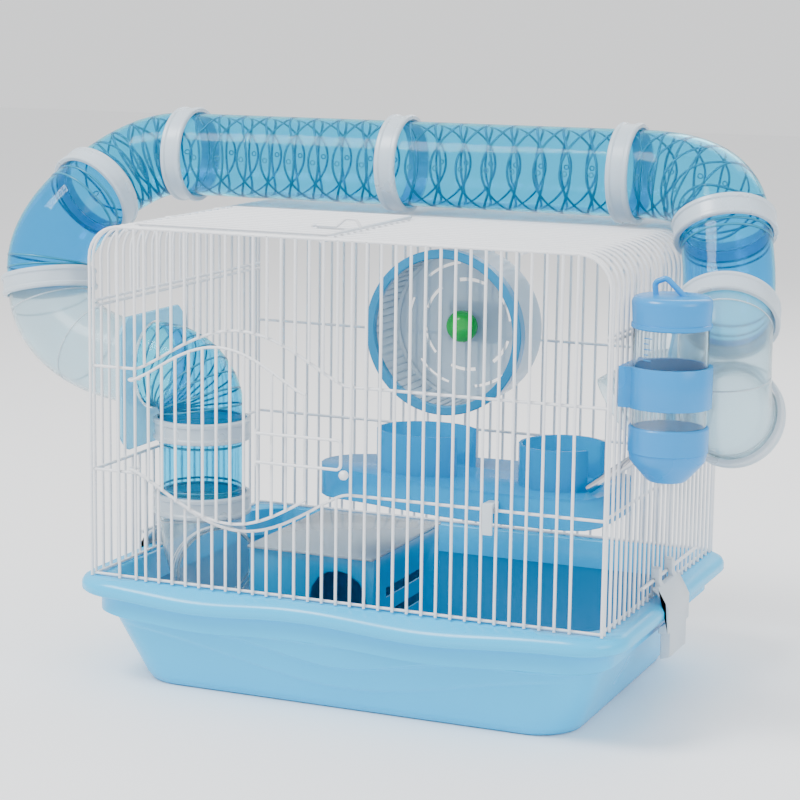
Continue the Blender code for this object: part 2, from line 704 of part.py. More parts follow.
def make_inner_tubes():
    """Inside the cage: the left run drops to the tray, the right one ends above the platform."""
    left, right = -HALF_W, HALF_W
    y, z = LEFT_PORT
    drop_x = left + TUBE_SEAT + COLLAR_T + 1.5 * WIRE + GAP
    bend = TUBE_OD / 2 + 8 * GAP
    joint_1 = Vector((drop_x, y - 0.004, z - bend - IN_COLLAR))
    joint_2 = joint_1 - Vector((0, 0, 0.050))
    mouth = joint_2 + Vector((0.025, -0.025, -bend - IN_COLLAR))
    down, across = (0, 0, -1), (1, -1, 0)
    tunnel_piece("left_inner_elbow", (Vector((left, y, z)), (1, 0, 0)), (joint_1, down), CLEAR_BLUE, (IN_PLATE, IN_COLLAR))
    collar("left_inner_collar_1", joint_1, down)
    straight_piece("left_inner_tube", joint_1, joint_2, CLEAR_BLUE)
    collar("left_inner_collar_2", joint_2, down)
    tunnel_piece("left_inner_mouth", (joint_2, down), (mouth, across), CLEAR, (IN_COLLAR, FREE_END))
    y, z = RIGHT_PORT
    mouth = Vector((right - 0.038, y - 0.009, z - 0.012))
    port = (Vector((right, y, z)), (-1, 0, 0))
    tunnel_piece("right_inner_mouth", port, (mouth, (-0.80, -0.2, -0.57)), CLEAR, (IN_PLATE, FREE_END))


# ---- running wheel ------------------------------------------------------------------------------
def make_wheel():
    r = WHEEL_D / 2
    back = HALF_D - WHEEL_BACK
    front = back - WHEEL_DEPTH
    centre = (WHEEL_X, 0, WHEEL_Z)
    axis = (0, 1, 0)
    hole = AXLE_D / 2 + AXLE_CLEAR
    band = 0.005
    boss = 0.008
    drum = [
        (hole, back), (r - 0.002, back), (r - 0.002, front + band + GAP), (r - 0.002 - WHEEL_WALL, front + band + GAP),
        (r - 0.002 - WHEEL_WALL, back - WHEEL_WALL), (boss, back - WHEEL_WALL), (boss, back - 0.008), (hole, back - 0.008),
    ]
    solid("running_wheel", *turned(drum, 32, centre, axis), MILKY)
    rim = [(r, front), (r, front + band + 0.004), (r - 0.002 + GAP, front + band + 0.004),
           (r - 0.002 + GAP, front + band), (r - 0.006, front + band), (r - 0.006, front)]
    solid("wheel_front_rim", *turned(rim, 32, centre, axis), DEEP)
    pin_end = back - 0.012
    cap = HUB_D / 2
    cup = [
        (AXLE_D / 2 + GAP, pin_end + 0.0035), (cap * 0.9, pin_end + 0.0035), (cap, pin_end), (cap * 0.9, pin_end - 0.005),
        (cap * 0.5, pin_end - 0.008), (0, pin_end - 0.009), (0, pin_end - GAP), (AXLE_D / 2 + GAP, pin_end - GAP),
    ]
    solid("wheel_hub_cap", *turned(cup, 16, centre, axis), GREEN)
    plate_y = HALF_D - WIRE * 1.5 - GAP
    pin = [(0, pin_end), (AXLE_D / 2, pin_end), (AXLE_D / 2, back + 0.001), (0.010, back + 0.001), (0.010, plate_y), (0, plate_y)]
    bracket = solid("wheel_axle_bracket", *turned(pin, 16, centre, axis), MILKY)
    half = 0.019
    low = (WHEEL_X - half, plate_y - 0.003, WHEEL_Z - 0.014)
    plate = box(low, (WHEEL_X + half, plate_y, WHEEL_Z + 0.014))
    return combine(bracket, [plate], "UNION")


# ---- platform -----------------------------------------------------------------------------------
def smooth_outline(points, steps=4):
    """A closed outline read from a smooth curve through its own points."""
    n, out = len(points), []
    pts = [Vector(p) for p in points]
    for i in range(n):
        p0, p1, p2, p3 = (pts[(i + k) % n] for k in (-1, 0, 1, 2))
        for t in np.linspace(0, 1, steps, endpoint=False):
            out.append(tuple(0.5 * (2 * p1 + (p2 - p0) * t + (2 * p0 - 5 * p1 + 4 * p2 - p3) * t * t
                                    + (3 * p1 - p0 - 3 * p2 + p3) * t**3)))
    return out


def offset_outline(points, distance):
    """The same outline moved inwards by a distance; the outline runs anticlockwise."""
    out, n = [], len(points)
    for i in range(n):
        before, here, after = (Vector(points[(i + k) % n]) for k in (-1, 0, 1))
        along = (after - before).normalized()
        out.append(tuple(here + Vector((-along.y, along.x)) * distance))
    return out


def make_platform():
    """A moulded deck with a skirt all round, and two raised loops that wall in the running track."""
    right = HALF_W - WIRE * 2 - 0.004
    front = -HALF_D + WIRE * 2 + 0.004
    outline = smooth_outline([
        (right - 0.155, front + 0.018), (right - 0.100, front + 0.004), (right - 0.050, front),
        (right - 0.008, front + 0.006), (right, front + 0.045), (right - 0.005, front + 0.086),
        (right - 0.050, front + 0.096), (right - 0.110, front + 0.095), (right - 0.150, front + 0.084),
        (right - 0.185, front + 0.070), (right - 0.196, front + 0.048), (right - 0.185, front + 0.026),
    ], 3)
    top = PLATFORM_Z + PLATFORM_H
    deck = solid("platform", *prism(outline, PLATFORM_Z, top), CLEAR_BLUE)
    inner = offset_outline(outline, PLATFORM_WALL)
    deck = combine(deck, [prism(inner, PLATFORM_Z - 0.01, top - PLATFORM_WALL)], "DIFFERENCE")
    rise = top + PLATFORM_LOOP_H
    loops = ((-0.1257, 0.048, 0.0325, 0.027), (-0.0357, 0.043, 0.0265, 0.028))
    for cx, cy, rx, ry in loops:
        ring = [(right + cx + rx * math.cos(a), front + cy + ry * math.sin(a)) for a in np.linspace(0, 2 * math.pi, 20, endpoint=False)]
        outer = prism(ring, top - WELD, rise)
        deck = combine(deck, [outer], "UNION")
    for cx, cy, rx, ry in loops:
        t = PLATFORM_WALL
        ring = [(right + cx + (rx - t) * math.cos(a), front + cy + (ry - t) * math.sin(a)) for a in np.linspace(0, 2 * math.pi, 20, endpoint=False)]
        cut = prism(ring, top, rise + 0.01)
        gap_x = right + cx + rx
        way = box((gap_x - 0.012, front + cy - 0.016, top), (gap_x + 0.006, front + cy + 0.016, rise + 0.01))
        deck = combine(deck, [cut], "DIFFERENCE")
        deck = combine(deck, [way], "DIFFERENCE")
    return front


def make_platform_clip(front):
    """A tab pressed on to the deck's skirt that hooks forwards over the lower front rail."""
    bars = column_places(CAGE_W)
    x = (bars[-6] + bars[-7]) / 2
    half = (bars[-6] - bars[-7] - WIRE) / 2 - GAP
    y_wire = -HALF_D
    skirt = front - GAP
    z = LOW_RAIL_Z + WIRE / 2 + GAP
    profile = [
        (skirt, z - 0.004), (skirt, z + 0.003), (y_wire - WIRE / 2 - GAP - 0.0018, z + 0.003),
        (y_wire - WIRE / 2 - GAP - 0.0018, z - 0.016), (y_wire - WIRE / 2 - GAP, z - 0.016),
        (y_wire - WIRE / 2 - GAP, z), (y_wire + WIRE * 1.5, z), (y_wire + WIRE * 1.5, z - 0.004),
    ]
    place = Matrix(((0, 0, 1, x), (1, 0, 0, 0), (0, 1, 0, 0), (0, 0, 0, 1)))
    return solid("platform_clip", *prism(profile, -half, half, place), MILKY, smooth=False)


# ---- hideout ------------------------------------------------------------------------------------
def make_hideout():
    x0, x1 = HOUSE_X - HOUSE_W / 2, HOUSE_X + HOUSE_W / 2
    y0, y1 = HOUSE_FRONT_Y, HOUSE_FRONT_Y + HOUSE_D
    z0, z1 = FLOOR_Z + GAP, FLOOR_Z + GAP + HOUSE_H
    t = HOUSE_WALL
    body = solid("hideout_body", *box((x0, y0, z0), (x1, y1, z1)), DEEP, smooth=False)
    room = box((x0 + t, y0 + t, z0 - 0.01), (x1 - t, y1 - t, z1 + 0.01))
    half = HOUSE_DOOR_W / 2
    door_x = x1 - half - 0.005
    spring = HOUSE_DOOR_H - half
    arch = [(-half, -0.01), (half, -0.01)] + arc((0, spring), half, 0, 180, 9)
    place = Matrix(((1, 0, 0, door_x), (0, 0, -1, y0), (0, 1, 0, z0), (0, 0, 0, 1)))
    doorway = prism(arch, -0.01, 0.01, place)
    combine(body, [room], "DIFFERENCE", smooth=False)
    combine(body, [doorway], "DIFFERENCE", smooth=False)
    slots = [box((x1 - 0.01, y0 + 0.020, z), (x1 + 0.01, y1 - 0.030, z + 0.006)) for z in (z0 + 0.040, z0 + 0.056)]
    combine(body, slots, "DIFFERENCE", smooth=False)
    roof_z = z1 + GAP
    over = 0.003
    roof = solid("hideout_roof", *box((x0, y0 - over, roof_z), (x1, y1 + over, roof_z + 0.002)), CLEAR, smooth=False)
    edge = t + GAP
    lip = box((x0 + edge, y0 + edge, roof_z - 0.004), (x1 - edge, y1 - edge, roof_z + 0.0005))
    combine(roof, [lip], "UNION", smooth=False)


# ---- water bottle -------------------------------------------------------------------------------
def make_bottle():
    r = BOTTLE_D / 2
    x = HALF_W + WIRE / 2 + 0.0045 + r
    y = BOTTLE_BACK_Y - r
    z0, z1 = BOTTLE_Z, BOTTLE_Z + BOTTLE_L
    t = 0.0015
    up = (0, 0, 1)
    at = (x, y, 0)
    body = [(r, z0), (r, z1), (r - t, z1), (r - t, z0)]
    solid("bottle_body", *turned(body, 20, at, up), CLEAR)
    cap_r = r + 0.0015
    cap = [(0, z1 + GAP), (cap_r, z1 + GAP), (cap_r, z1 + BOTTLE_CAP_H - 0.004), (cap_r - 0.004, z1 + BOTTLE_CAP_H), (0, z1 + BOTTLE_CAP_H)]
    top = solid("bottle_top_cap", *turned(cap, 20, at, up), DEEP)
    loop_z = z1 + BOTTLE_CAP_H - 0.001
    loop = [(x - 0.010, y, loop_z), (x - 0.011, y, loop_z + 0.008), (x - 0.004, y, loop_z + 0.011), (x + 0.008, y, loop_z)]
    combine(top, [sweep(loop, 0.0018, 6)], "UNION")
    cup = [(r - 0.010, z0 - BOTTLE_CUP_H), (cap_r - 0.003, z0 - BOTTLE_CUP_H + 0.010), (cap_r, z0 - 0.012), (cap_r, z0 - GAP), (0, z0 - GAP), (0, z0 - BOTTLE_CUP_H)]
    lower = solid("bottle_screw_cap", *turned(cup, 20, at, up), DEEP)
    spout_dir = Vector((-0.8, 0, -0.6))
    root = Vector((x - 0.008, y, z0 - 0.013))
    bore = sweep([root, root + spout_dir * 0.06], SPOUT_D / 2 + GAP, 8)
    combine(lower, [bore], "DIFFERENCE")
    tip = root + spout_dir * SPOUT_L
    tube = pipe([root + spout_dir * 0.002, tip], SPOUT_D / 2, SPOUT_D / 2 - 0.0008, 8)
    solid("bottle_spout", *tube, STEEL)
    ball_at = tip - spout_dir * 0.002
    ball_r = SPOUT_D / 2 - 0.0008 - 0.0002
    rings = [(0, -ball_r)] + [(ball_r * math.cos(a), ball_r * math.sin(a)) for a in np.radians((-45, 0, 45))] + [(0, ball_r)]
    solid("bottle_ball", *turned(rings, 8, ball_at, spout_dir), STEEL)
    make_holder(x, y, r, z0)


def make_holder(x, y, r, z0):
    """A strap round the bottle with two arms that hook on to the side wires."""
    low, high = z0 + 0.011, z0 + 0.035
    inner = r + GAP
    outer = inner + 0.0025
    band = [(outer, low), (outer, high), (inner, high), (inner, low)]
    holder = solid("bottle_holder", *turned(band, 20, (x, y, 0), (0, 0, 1)), DEEP)
    arm_x = HALF_W + WIRE / 2 + GAP
    arms = [box((arm_x, y - 0.016, low), (x - inner * 0.80, y + 0.016, high))]
    holder = combine(holder, arms, "UNION")
    bore = turned([(0, low - 0.01), (inner, low - 0.01), (inner, high + 0.01), (0, high + 0.01)], 20, (x, y, 0), (0, 0, 1))
    return combine(holder, [bore], "DIFFERENCE")


# ---- assembly -----------------------------------------------------------------------------------
def place_origin(name, point):
    """Moves an object's origin to its joint's axis without moving its shape."""
    obj = bpy.data.objects[name]
    obj.data.transform(Matrix.Translation(-Vector(point)))
    obj.location = point


clear_scene()
make_tray()
make_front_panel()
make_back_panel()
make_side_top_wrap()
door, door_front, door_bars = make_front_door()
make_door_latch(door_front, door_bars)
hatch, hatch_axis_z = make_hatch()
make_hatch_latch()
for side_name, side_sign in (("left", -1), ("right", 1)):
    make_clip(f"{side_name}_clip", side_sign)
    make_clip_bar(f"{side_name}_clip_bar", side_sign)
port_plate("left_port_plate", LEFT_PORT, -HALF_W, -1)
port_plate("right_port_plate", RIGHT_PORT, HALF_W, 1)
make_tunnel()
make_inner_tubes()
make_wheel()
make_platform_clip(make_platform())
make_hideout()
make_bottle()

place_origin("front_door", (DOOR_LEFT_X, -HALF_D, LOW_RAIL_Z))
place_origin("door_latch", (DOOR_LEFT_X, -HALF_D, LOW_RAIL_Z))
place_origin("top_hatch", (HATCH_X[0], 0, hatch_axis_z))
place_origin("hatch_latch", (HATCH_X[0], 0, hatch_axis_z))
place_origin("left_clip", (-HALF_W - WIRE - GAP, clip_middle(), CLIP_BAR_Z))
place_origin("right_clip", (HALF_W + WIRE + GAP, clip_middle(), CLIP_BAR_Z))
for wheel_piece in ("running_wheel", "wheel_front_rim"):
    place_origin(wheel_piece, (WHEEL_X, HALF_D, WHEEL_Z))
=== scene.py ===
import math

import bmesh
import bpy
import numpy as np
from mathutils import Matrix, Vector


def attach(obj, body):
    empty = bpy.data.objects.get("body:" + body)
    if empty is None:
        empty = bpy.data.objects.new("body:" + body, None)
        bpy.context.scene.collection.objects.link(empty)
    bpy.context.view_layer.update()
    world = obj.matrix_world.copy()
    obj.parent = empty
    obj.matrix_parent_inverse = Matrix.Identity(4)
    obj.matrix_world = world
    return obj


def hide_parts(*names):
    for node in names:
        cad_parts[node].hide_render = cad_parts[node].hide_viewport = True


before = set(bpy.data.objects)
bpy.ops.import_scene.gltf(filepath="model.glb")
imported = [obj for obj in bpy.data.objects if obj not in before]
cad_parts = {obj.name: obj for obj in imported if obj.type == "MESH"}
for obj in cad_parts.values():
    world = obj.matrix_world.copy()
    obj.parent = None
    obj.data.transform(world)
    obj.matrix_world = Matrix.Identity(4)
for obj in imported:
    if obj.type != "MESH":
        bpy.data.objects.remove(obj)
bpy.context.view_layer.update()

# The view: a long lens, a little to the right of the front and slightly above the roof.
# The cage stands on a pale table top under one broad lamp, with pale walls all round it.
camera_data = bpy.data.cameras.new("camera")
camera_data.lens, camera_data.sensor_width = 104.0, 36.0
camera = bpy.data.objects.new("camera", camera_data)
bpy.context.scene.collection.objects.link(camera)
sight = Vector((-0.38182, 0.90773, -0.17391)).normalized()
camera_right = Vector((0.92079, 0.38986, 0.013135)).normalized()
camera_up = camera_right.cross(sight)
camera_at = Vector((0.567195, -1.369891, 0.440735))
rows = [(*row, at) for row, at in zip(zip(camera_right, camera_up, -sight), camera_at)]
camera.matrix_world = Matrix((*rows, (0, 0, 0, 1)))
bpy.context.scene.camera = camera

room = bpy.data.worlds.new("pale room")
room.use_nodes = True
room.node_tree.nodes["Background"].inputs["Color"].default_value = (0.98, 0.99, 1.0, 1)
room.node_tree.nodes["Background"].inputs["Strength"].default_value = 1.2
bpy.context.scene.world = room
for lamp_name, lamp_at, lamp_size, lamp_power in (
    ("broad lamp", (-0.8, -0.9, 1.7), 0.7, 46),
    ("side lamp", (1.3, -0.5, 0.8), 0.8, 9),
    ("back lamp", (0.2, 1.3, 1.2), 1.0, 12),
):
    lamp = bpy.data.objects.new(lamp_name, bpy.data.lights.new(lamp_name, "AREA"))
    lamp.data.size, lamp.data.energy = lamp_size, lamp_power
    lamp.location = lamp_at
    lamp.rotation_euler = (Vector((0, 0, 0.15)) - Vector(lamp_at)).to_track_quat("-Z", "Y").to_euler()
    bpy.context.scene.collection.objects.link(lamp)

table_mesh = bpy.data.meshes.new("table top")
table_mesh.from_pydata([(-6, -6, 0), (6, -6, 0), (6, 6, 0), (-6, 6, 0)], [], [(0, 1, 2, 3)])
table_top = bpy.data.objects.new("table_top", table_mesh)
bpy.context.scene.collection.objects.link(table_top)
pale = bpy.data.materials.new("pale table")
pale.use_nodes = True
pale.node_tree.nodes["Principled BSDF"].inputs["Base Color"].default_value = (0.93, 0.93, 0.935, 1)
pale.node_tree.nodes["Principled BSDF"].inputs["Roughness"].default_value = 0.6
table_mesh.materials.append(pale)


# The tray: one deep moulding in glossy sky-blue plastic. Its walls flare up to a step and a rolled lip that
# carries the wires. Two low relief waves cross the front, below the step.
TRAY_RIM_Z = 0.070
TRAY_LIP_H = 0.010
TRAY_STEP_Z = 0.0475
TRAY_WALL = 0.0025
TRAY_FOOT_H, TRAY_CORNER = 0.005, 0.028
WALL_STEPS = 56
CAGE_HALF_W, CAGE_HALF_D = 0.171, 0.1195
WIRE = 0.0024
GAP = 0.0003


def moulding_finish():
    """How moulded plastic and dipped coatings vary: slow drifts of tone and gloss, over a fine uneven skin."""
    group = bpy.data.node_groups.new("moulded finish", "ShaderNodeTree")
    face = group.interface
    for name, kind, value in (
        ("Colour", "NodeSocketColor", (0.8, 0.8, 0.8, 1)), ("Deep colour", "NodeSocketColor", (0.7, 0.7, 0.7, 1)),
        ("Gloss low", "NodeSocketFloat", 0.2), ("Gloss high", "NodeSocketFloat", 0.35),
        ("Drift size", "NodeSocketFloat", 18.0), ("Skin size", "NodeSocketFloat", 420.0),
        ("Skin depth", "NodeSocketFloat", 0.05),
    ):
        face.new_socket(name, in_out="INPUT", socket_type=kind).default_value = value
    for name, kind in (
        ("Colour", "NodeSocketColor"), ("Roughness", "NodeSocketFloat"), ("Normal", "NodeSocketVector"),
    ):
        face.new_socket(name, in_out="OUTPUT", socket_type=kind)
    add, link = group.nodes.new, group.links.new
    given, result, place = add("NodeGroupInput"), add("NodeGroupOutput"), add("ShaderNodeTexCoord")
    drift, skin = add("ShaderNodeTexNoise"), add("ShaderNodeTexNoise")
    tone, gloss, bump = add("ShaderNodeMix"), add("ShaderNodeMapRange"), add("ShaderNodeBump")
    tone.data_type = "RGBA"
    drift.inputs["Detail"].default_value = 3.0
    bump.inputs["Distance"].default_value = 0.0006
    link(place.outputs["Object"], drift.inputs["Vector"])
    link(place.outputs["Object"], skin.inputs["Vector"])
    link(given.outputs["Drift size"], drift.inputs["Scale"])
    link(given.outputs["Skin size"], skin.inputs["Scale"])
    link(drift.outputs["Fac"], tone.inputs["Factor"])
    link(given.outputs["Colour"], tone.inputs["A"])
    link(given.outputs["Deep colour"], tone.inputs["B"])
    link(drift.outputs["Fac"], gloss.inputs["Value"])
    link(given.outputs["Gloss low"], gloss.inputs["To Min"])
    link(given.outputs["Gloss high"], gloss.inputs["To Max"])
    link(skin.outputs["Fac"], bump.inputs["Height"])
    link(given.outputs["Skin depth"], bump.inputs["Strength"])
    link(tone.outputs["Result"], result.inputs["Colour"])
    link(gloss.outputs["Result"], result.inputs["Roughness"])
    link(bump.outputs["Normal"], result.inputs["Normal"])
    return group


def finish(name, colour, deep, gloss=(0.2, 0.35), drift=18, skin=420, depth=0.05, clear=0.0, ior=1.45, metal=0.0):
    """A material with the moulded finish under its own Principled shader."""
    mat = bpy.data.materials.new(name)
    mat.use_nodes = True
    tree = mat.node_tree
    shader = tree.nodes["Principled BSDF"]
    shader.inputs["Transmission Weight"].default_value = clear
    shader.inputs["IOR"].default_value = ior
    shader.inputs["Metallic"].default_value = metal
    group = tree.nodes.new("ShaderNodeGroup")
    group.node_tree = bpy.data.node_groups.get("moulded finish") or moulding_finish()
    values = ((*colour, 1), (*deep, 1), *gloss, drift, skin, depth)
    for socket, value in zip(group.inputs, values):
        socket.default_value = value
    tree.links.new(group.outputs["Colour"], shader.inputs["Base Color"])
    tree.links.new(group.outputs["Roughness"], shader.inputs["Roughness"])
    tree.links.new(group.outputs["Normal"], shader.inputs["Normal"])
    return mat


def piece(name, verts, faces, mat, smooth=40):
    """A new mesh object at the origin, facing outwards."""
    mesh = bpy.data.meshes.new(name)
    mesh.from_pydata([tuple(v) for v in verts], [], faces)
    bm = bmesh.new()
    bm.from_mesh(mesh)
    bmesh.ops.remove_doubles(bm, verts=bm.verts, dist=1e-6)
    bmesh.ops.recalc_face_normals(bm, faces=bm.faces)
    bm.to_mesh(mesh)
    bm.free()
    obj = bpy.data.objects.new(name, mesh)
    bpy.context.scene.collection.objects.link(obj)
    mesh.materials.append(mat)
    mesh.shade_smooth()
    mesh.set_sharp_from_angle(angle=math.radians(smooth))
    return obj


def fit(obj, body, slot, *nodes):
    """Rides a finished piece on its body, in place of the plain solids it stands for."""
    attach(obj, body)
    if nodes:
        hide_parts(*nodes)
    return obj


def loft(rings, closed_ends=True):
    """Faces over a stack of rings that have the same number of points."""
    count = len(rings[0])
    verts = [v for ring in rings for v in ring]
    faces = []
    for k in range(len(rings) - 1):
        for i in range(count):
            j = (i + 1) % count
            faces.append((k * count + i, k * count + j, (k + 1) * count + j, (k + 1) * count + i))
    if closed_ends:
        faces += [tuple(range(count)), tuple(range((len(rings) - 1) * count, len(rings) * count))]
    return verts, faces


def round_rectangle(half_x, half_y, corner, z, side_steps=90, corner_steps=9):
    """Points anticlockwise round a rectangle with rounded corners, close together along its sides."""
    quadrants = ((1, 1), (-1, 1), (-1, -1), (1, -1))

    def corner_point(turn, degrees):
        sx, sy = quadrants[turn % 4]
        a = math.radians(degrees)
        return Vector((
            sx * (half_x - corner) + corner * math.cos(a), sy * (half_y - corner) + corner * math.sin(a), z,
        ))

    points = []
    for turn in range(4):
        last = 90 * turn + 90
        points += [corner_point(turn, degrees) for degrees in np.linspace(90 * turn, last, corner_steps)]
        here, there = points[-1], corner_point(turn + 1, last)
        points += [here.lerp(there, t) for t in np.linspace(0, 1, side_steps + 2)[1:-1]]
    return points


def soft_step(value):
    """0 below -1, 1 above 1, and a smooth rise between."""
    t = min(1.0, max(0.0, value * 0.5 + 0.5))
    return t * t * (3 - 2 * t)


def bell(x, middle, width, height):
    return height * math.exp(-(((x - middle) / width) ** 2) / 2)


def tray_relief(p):
    """How far the front wall swells: most above the upper wave, less between the two waves."""
    front_wall_y, upper_swell, lower_swell = -0.09, 0.0024, 0.0014
    if p.y > front_wall_y:
        return 0.0
    wall_top = TRAY_STEP_Z - 0.003
    upper = wall_top - bell(p.x, 0.001, 0.040, 0.0145)
    lower = wall_top - bell(p.x, 0.004, 0.075, 0.0285)
    fade = soft_step((0.140 - abs(p.x)) / 0.02) * soft_step((TRAY_STEP_Z - 0.0015 - p.z) / 0.001)
    return fade * (upper_swell * soft_step((p.z - upper) / 0.0007) + lower_swell * soft_step((p.z - lower) / 0.0010))


def lip_dip(p):
    """How far the front lip hangs below its ends: two shallow dips with a rise between them."""
    dips = bell(p.x, -0.092, 0.034, 0.0046) + bell(p.x, 0.060, 0.040, 0.0052)
    return dips * soft_step((-p.y - CAGE_HALF_D - 0.0042) / 0.0035) * soft_step((0.158 - abs(p.x)) / 0.02)


sky_plastic = finish("sky blue tray plastic", (0.0, 0.510, 0.90), (0.0, 0.478, 0.87), (0.20, 0.30), 9, 700, 0.03)
foot_x, foot_y = 0.149, 0.1085
step_x, step_y = CAGE_HALF_W + 0.0015, CAGE_HALF_D + 0.0065
wall_x, wall_y = step_x - 0.0065, step_y - 0.006
lip_x, lip_y = CAGE_HALF_W + 0.0125, CAGE_HALF_D + 0.0125
inner_x, inner_y = CAGE_HALF_W - WIRE - 0.002, CAGE_HALF_D - WIRE - 0.002
tray_rings = [
    (foot_x - 0.005, foot_y - 0.005, 0.0), (foot_x - 0.0022, foot_y - 0.0022, 0.0009), (foot_x, foot_y, TRAY_FOOT_H),
]
wall_rise = TRAY_STEP_Z - 0.003 - TRAY_FOOT_H  # the walls end just under the step
for t in np.linspace(0, 1, WALL_STEPS)[1:]:
    tray_rings.append((
        foot_x + (wall_x - foot_x) * t, foot_y + (wall_y - foot_y) * t, TRAY_FOOT_H + wall_rise * t,
    ))
first_step = len(tray_rings)
tray_rings += [
    (step_x - 0.0015, step_y - 0.0014, TRAY_STEP_Z - 0.0012), (step_x, step_y, TRAY_STEP_Z),
    (step_x, step_y, TRAY_RIM_Z - TRAY_LIP_H - 0.001), (lip_x - 0.0012, lip_y - 0.0012, TRAY_RIM_Z - TRAY_LIP_H),
    (lip_x, lip_y, TRAY_RIM_Z - TRAY_LIP_H + 0.0015), (lip_x, lip_y, TRAY_RIM_Z - 0.0045),
    (lip_x - 0.0012, lip_y - 0.0012, TRAY_RIM_Z - 0.0018), (lip_x - 0.004, lip_y - 0.004, TRAY_RIM_Z),
    (inner_x + 0.0012, inner_y + 0.0012, TRAY_RIM_Z), (inner_x, inner_y, TRAY_RIM_Z - 0.0012),
    (inner_x, inner_y, TRAY_STEP_Z + TRAY_WALL),
    (wall_x - TRAY_WALL, min(inner_y, wall_y - TRAY_WALL), TRAY_STEP_Z - 0.003 + TRAY_WALL),
    (foot_x - TRAY_WALL, foot_y - TRAY_WALL, TRAY_FOOT_H + TRAY_WALL),
    (foot_x - TRAY_WALL - 0.0015, foot_y - TRAY_WALL - 0.0015, 0.0038),
    (foot_x - TRAY_WALL - 0.004, foot_y - TRAY_WALL - 0.004, TRAY_WALL),
]
tray_loops = [round_rectangle(hx, hy, TRAY_CORNER, z) for hx, hy, z in tray_rings]
past_walls, past_lip = first_step + 1, first_step + 9
for loop in tray_loops[2:past_walls]:
    for point in loop:
        point.y -= tray_relief(point)
for loop in tray_loops[past_walls:past_lip]:
    for point in loop:
        point.z -= lip_dip(point)
tray_moulding = piece("tray_moulding", *loft(tray_loops), sky_plastic, 50)
# Painted shade: the inside of the tray is the same sky-blue plastic, given a darker and rougher copy of it to paint in
# the shade of its hollow.
painted_shade_inside = finish("sky blue tray with painted shade inside", (0.0, 0.235, 0.47), (0.0, 0.215, 0.44), (0.42, 0.54), 9, 700, 0.03)
tray_moulding.data.materials.append(painted_shade_inside)
# Painted shade mask: inward-facing walls and upward faces below the rim take the darker copy.
for face in tray_moulding.data.polygons:
    inwards = face.normal.x * face.center.x + face.normal.y * face.center.y < -0.01
    face.material_index = int(0.002 < face.center.z < 0.055 and (inwards or face.normal.z > 0.5))
fit(tray_moulding, "cage", "tray", "tray")


# The wires: round steel wire dipped in white plastic. Uprights are welded to level rails on the front and back,
# and the sides and roof are one sheet of wires bent over at both edges.
CAGE_TOP = 0.2945
DRAWN_WIRE = 0.0019
FOOT_Z = TRAY_RIM_Z + GAP
LOW_RAIL_Z, HIGH_RAIL_Z, SIDE_RAIL_Z = 0.1395, 0.206, 0.2455
ROUND_R = 0.020
PITCH = 0.0095
WELD = 0.0006
DOOR_LEFT_X, DOOR_W, DOORWAY_W = -0.139, 0.119, 0.144
WAVE_RISE, WAVE_DROP = 0.029, 0.030
HATCH_X = (-0.146, -0.013)
HATCH_Y = (-0.1095, 0.0135)
LEFT_PORT, RIGHT_PORT = (-0.0335, 0.1945), (0.0375, 0.1865)
PORT_PLATE = 0.088
PORT_PLATE_Z = 0.1865


def wire_tree():
    """Rounds the corners of bare centre lines and gives them a round section."""
    tree = bpy.data.node_groups.new("drawn wire", "GeometryNodeTree")
    face = tree.interface
    face.new_socket("Geometry", in_out="INPUT", socket_type="NodeSocketGeometry")
    for name, kind, value in (
        ("Wire width", "NodeSocketFloat", DRAWN_WIRE), ("Bend radius", "NodeSocketFloat", 0.003),
        ("Bend steps", "NodeSocketInt", 5), ("Sides", "NodeSocketInt", 10),
    ):
        face.new_socket(name, in_out="INPUT", socket_type=kind).default_value = value
    face.new_socket("Finish", in_out="INPUT", socket_type="NodeSocketMaterial")
    face.new_socket("Geometry", in_out="OUTPUT", socket_type="NodeSocketGeometry")
    add, link = tree.nodes.new, tree.links.new
    given, result = add("NodeGroupInput"), add("NodeGroupOutput")
    line, bend = add("GeometryNodeMeshToCurve"), add("GeometryNodeFilletCurve")
    section = add("GeometryNodeCurvePrimitiveCircle")
    draw, smooth = add("GeometryNodeCurveToMesh"), add("GeometryNodeSetShadeSmooth")
    real, paint, half = add("GeometryNodeRealizeInstances"), add("GeometryNodeSetMaterial"), add("ShaderNodeMath")
    bend.mode = "POLY"
    bend.inputs["Limit Radius"].default_value = True
    draw.inputs["Fill Caps"].default_value = True
    half.operation = "MULTIPLY"
    half.inputs[1].default_value = 0.5
    link(given.outputs["Geometry"], line.inputs["Mesh"])
    link(line.outputs["Curve"], bend.inputs["Curve"])
    link(given.outputs["Bend radius"], bend.inputs["Radius"])
    link(given.outputs["Bend steps"], bend.inputs["Count"])
    link(bend.outputs["Curve"], draw.inputs["Curve"])
    link(given.outputs["Wire width"], half.inputs[0])
    link(half.outputs["Value"], section.inputs["Radius"])
    link(given.outputs["Sides"], section.inputs["Resolution"])
    link(section.outputs["Curve"], draw.inputs["Profile Curve"])
    link(draw.outputs["Mesh"], smooth.inputs["Geometry"])
    link(smooth.outputs["Geometry"], real.inputs["Geometry"])
    link(real.outputs["Geometry"], paint.inputs["Geometry"])
    link(given.outputs["Finish"], paint.inputs["Material"])
    link(paint.outputs["Geometry"], result.inputs["Geometry"])
    return tree


def settle(obj):
    """Turns what an object's modifiers make into its own plain mesh."""
    mesh = bpy.data.meshes.new_from_object(obj.evaluated_get(bpy.context.evaluated_depsgraph_get()))
    obj.modifiers.clear()
    obj.data = mesh
    return obj


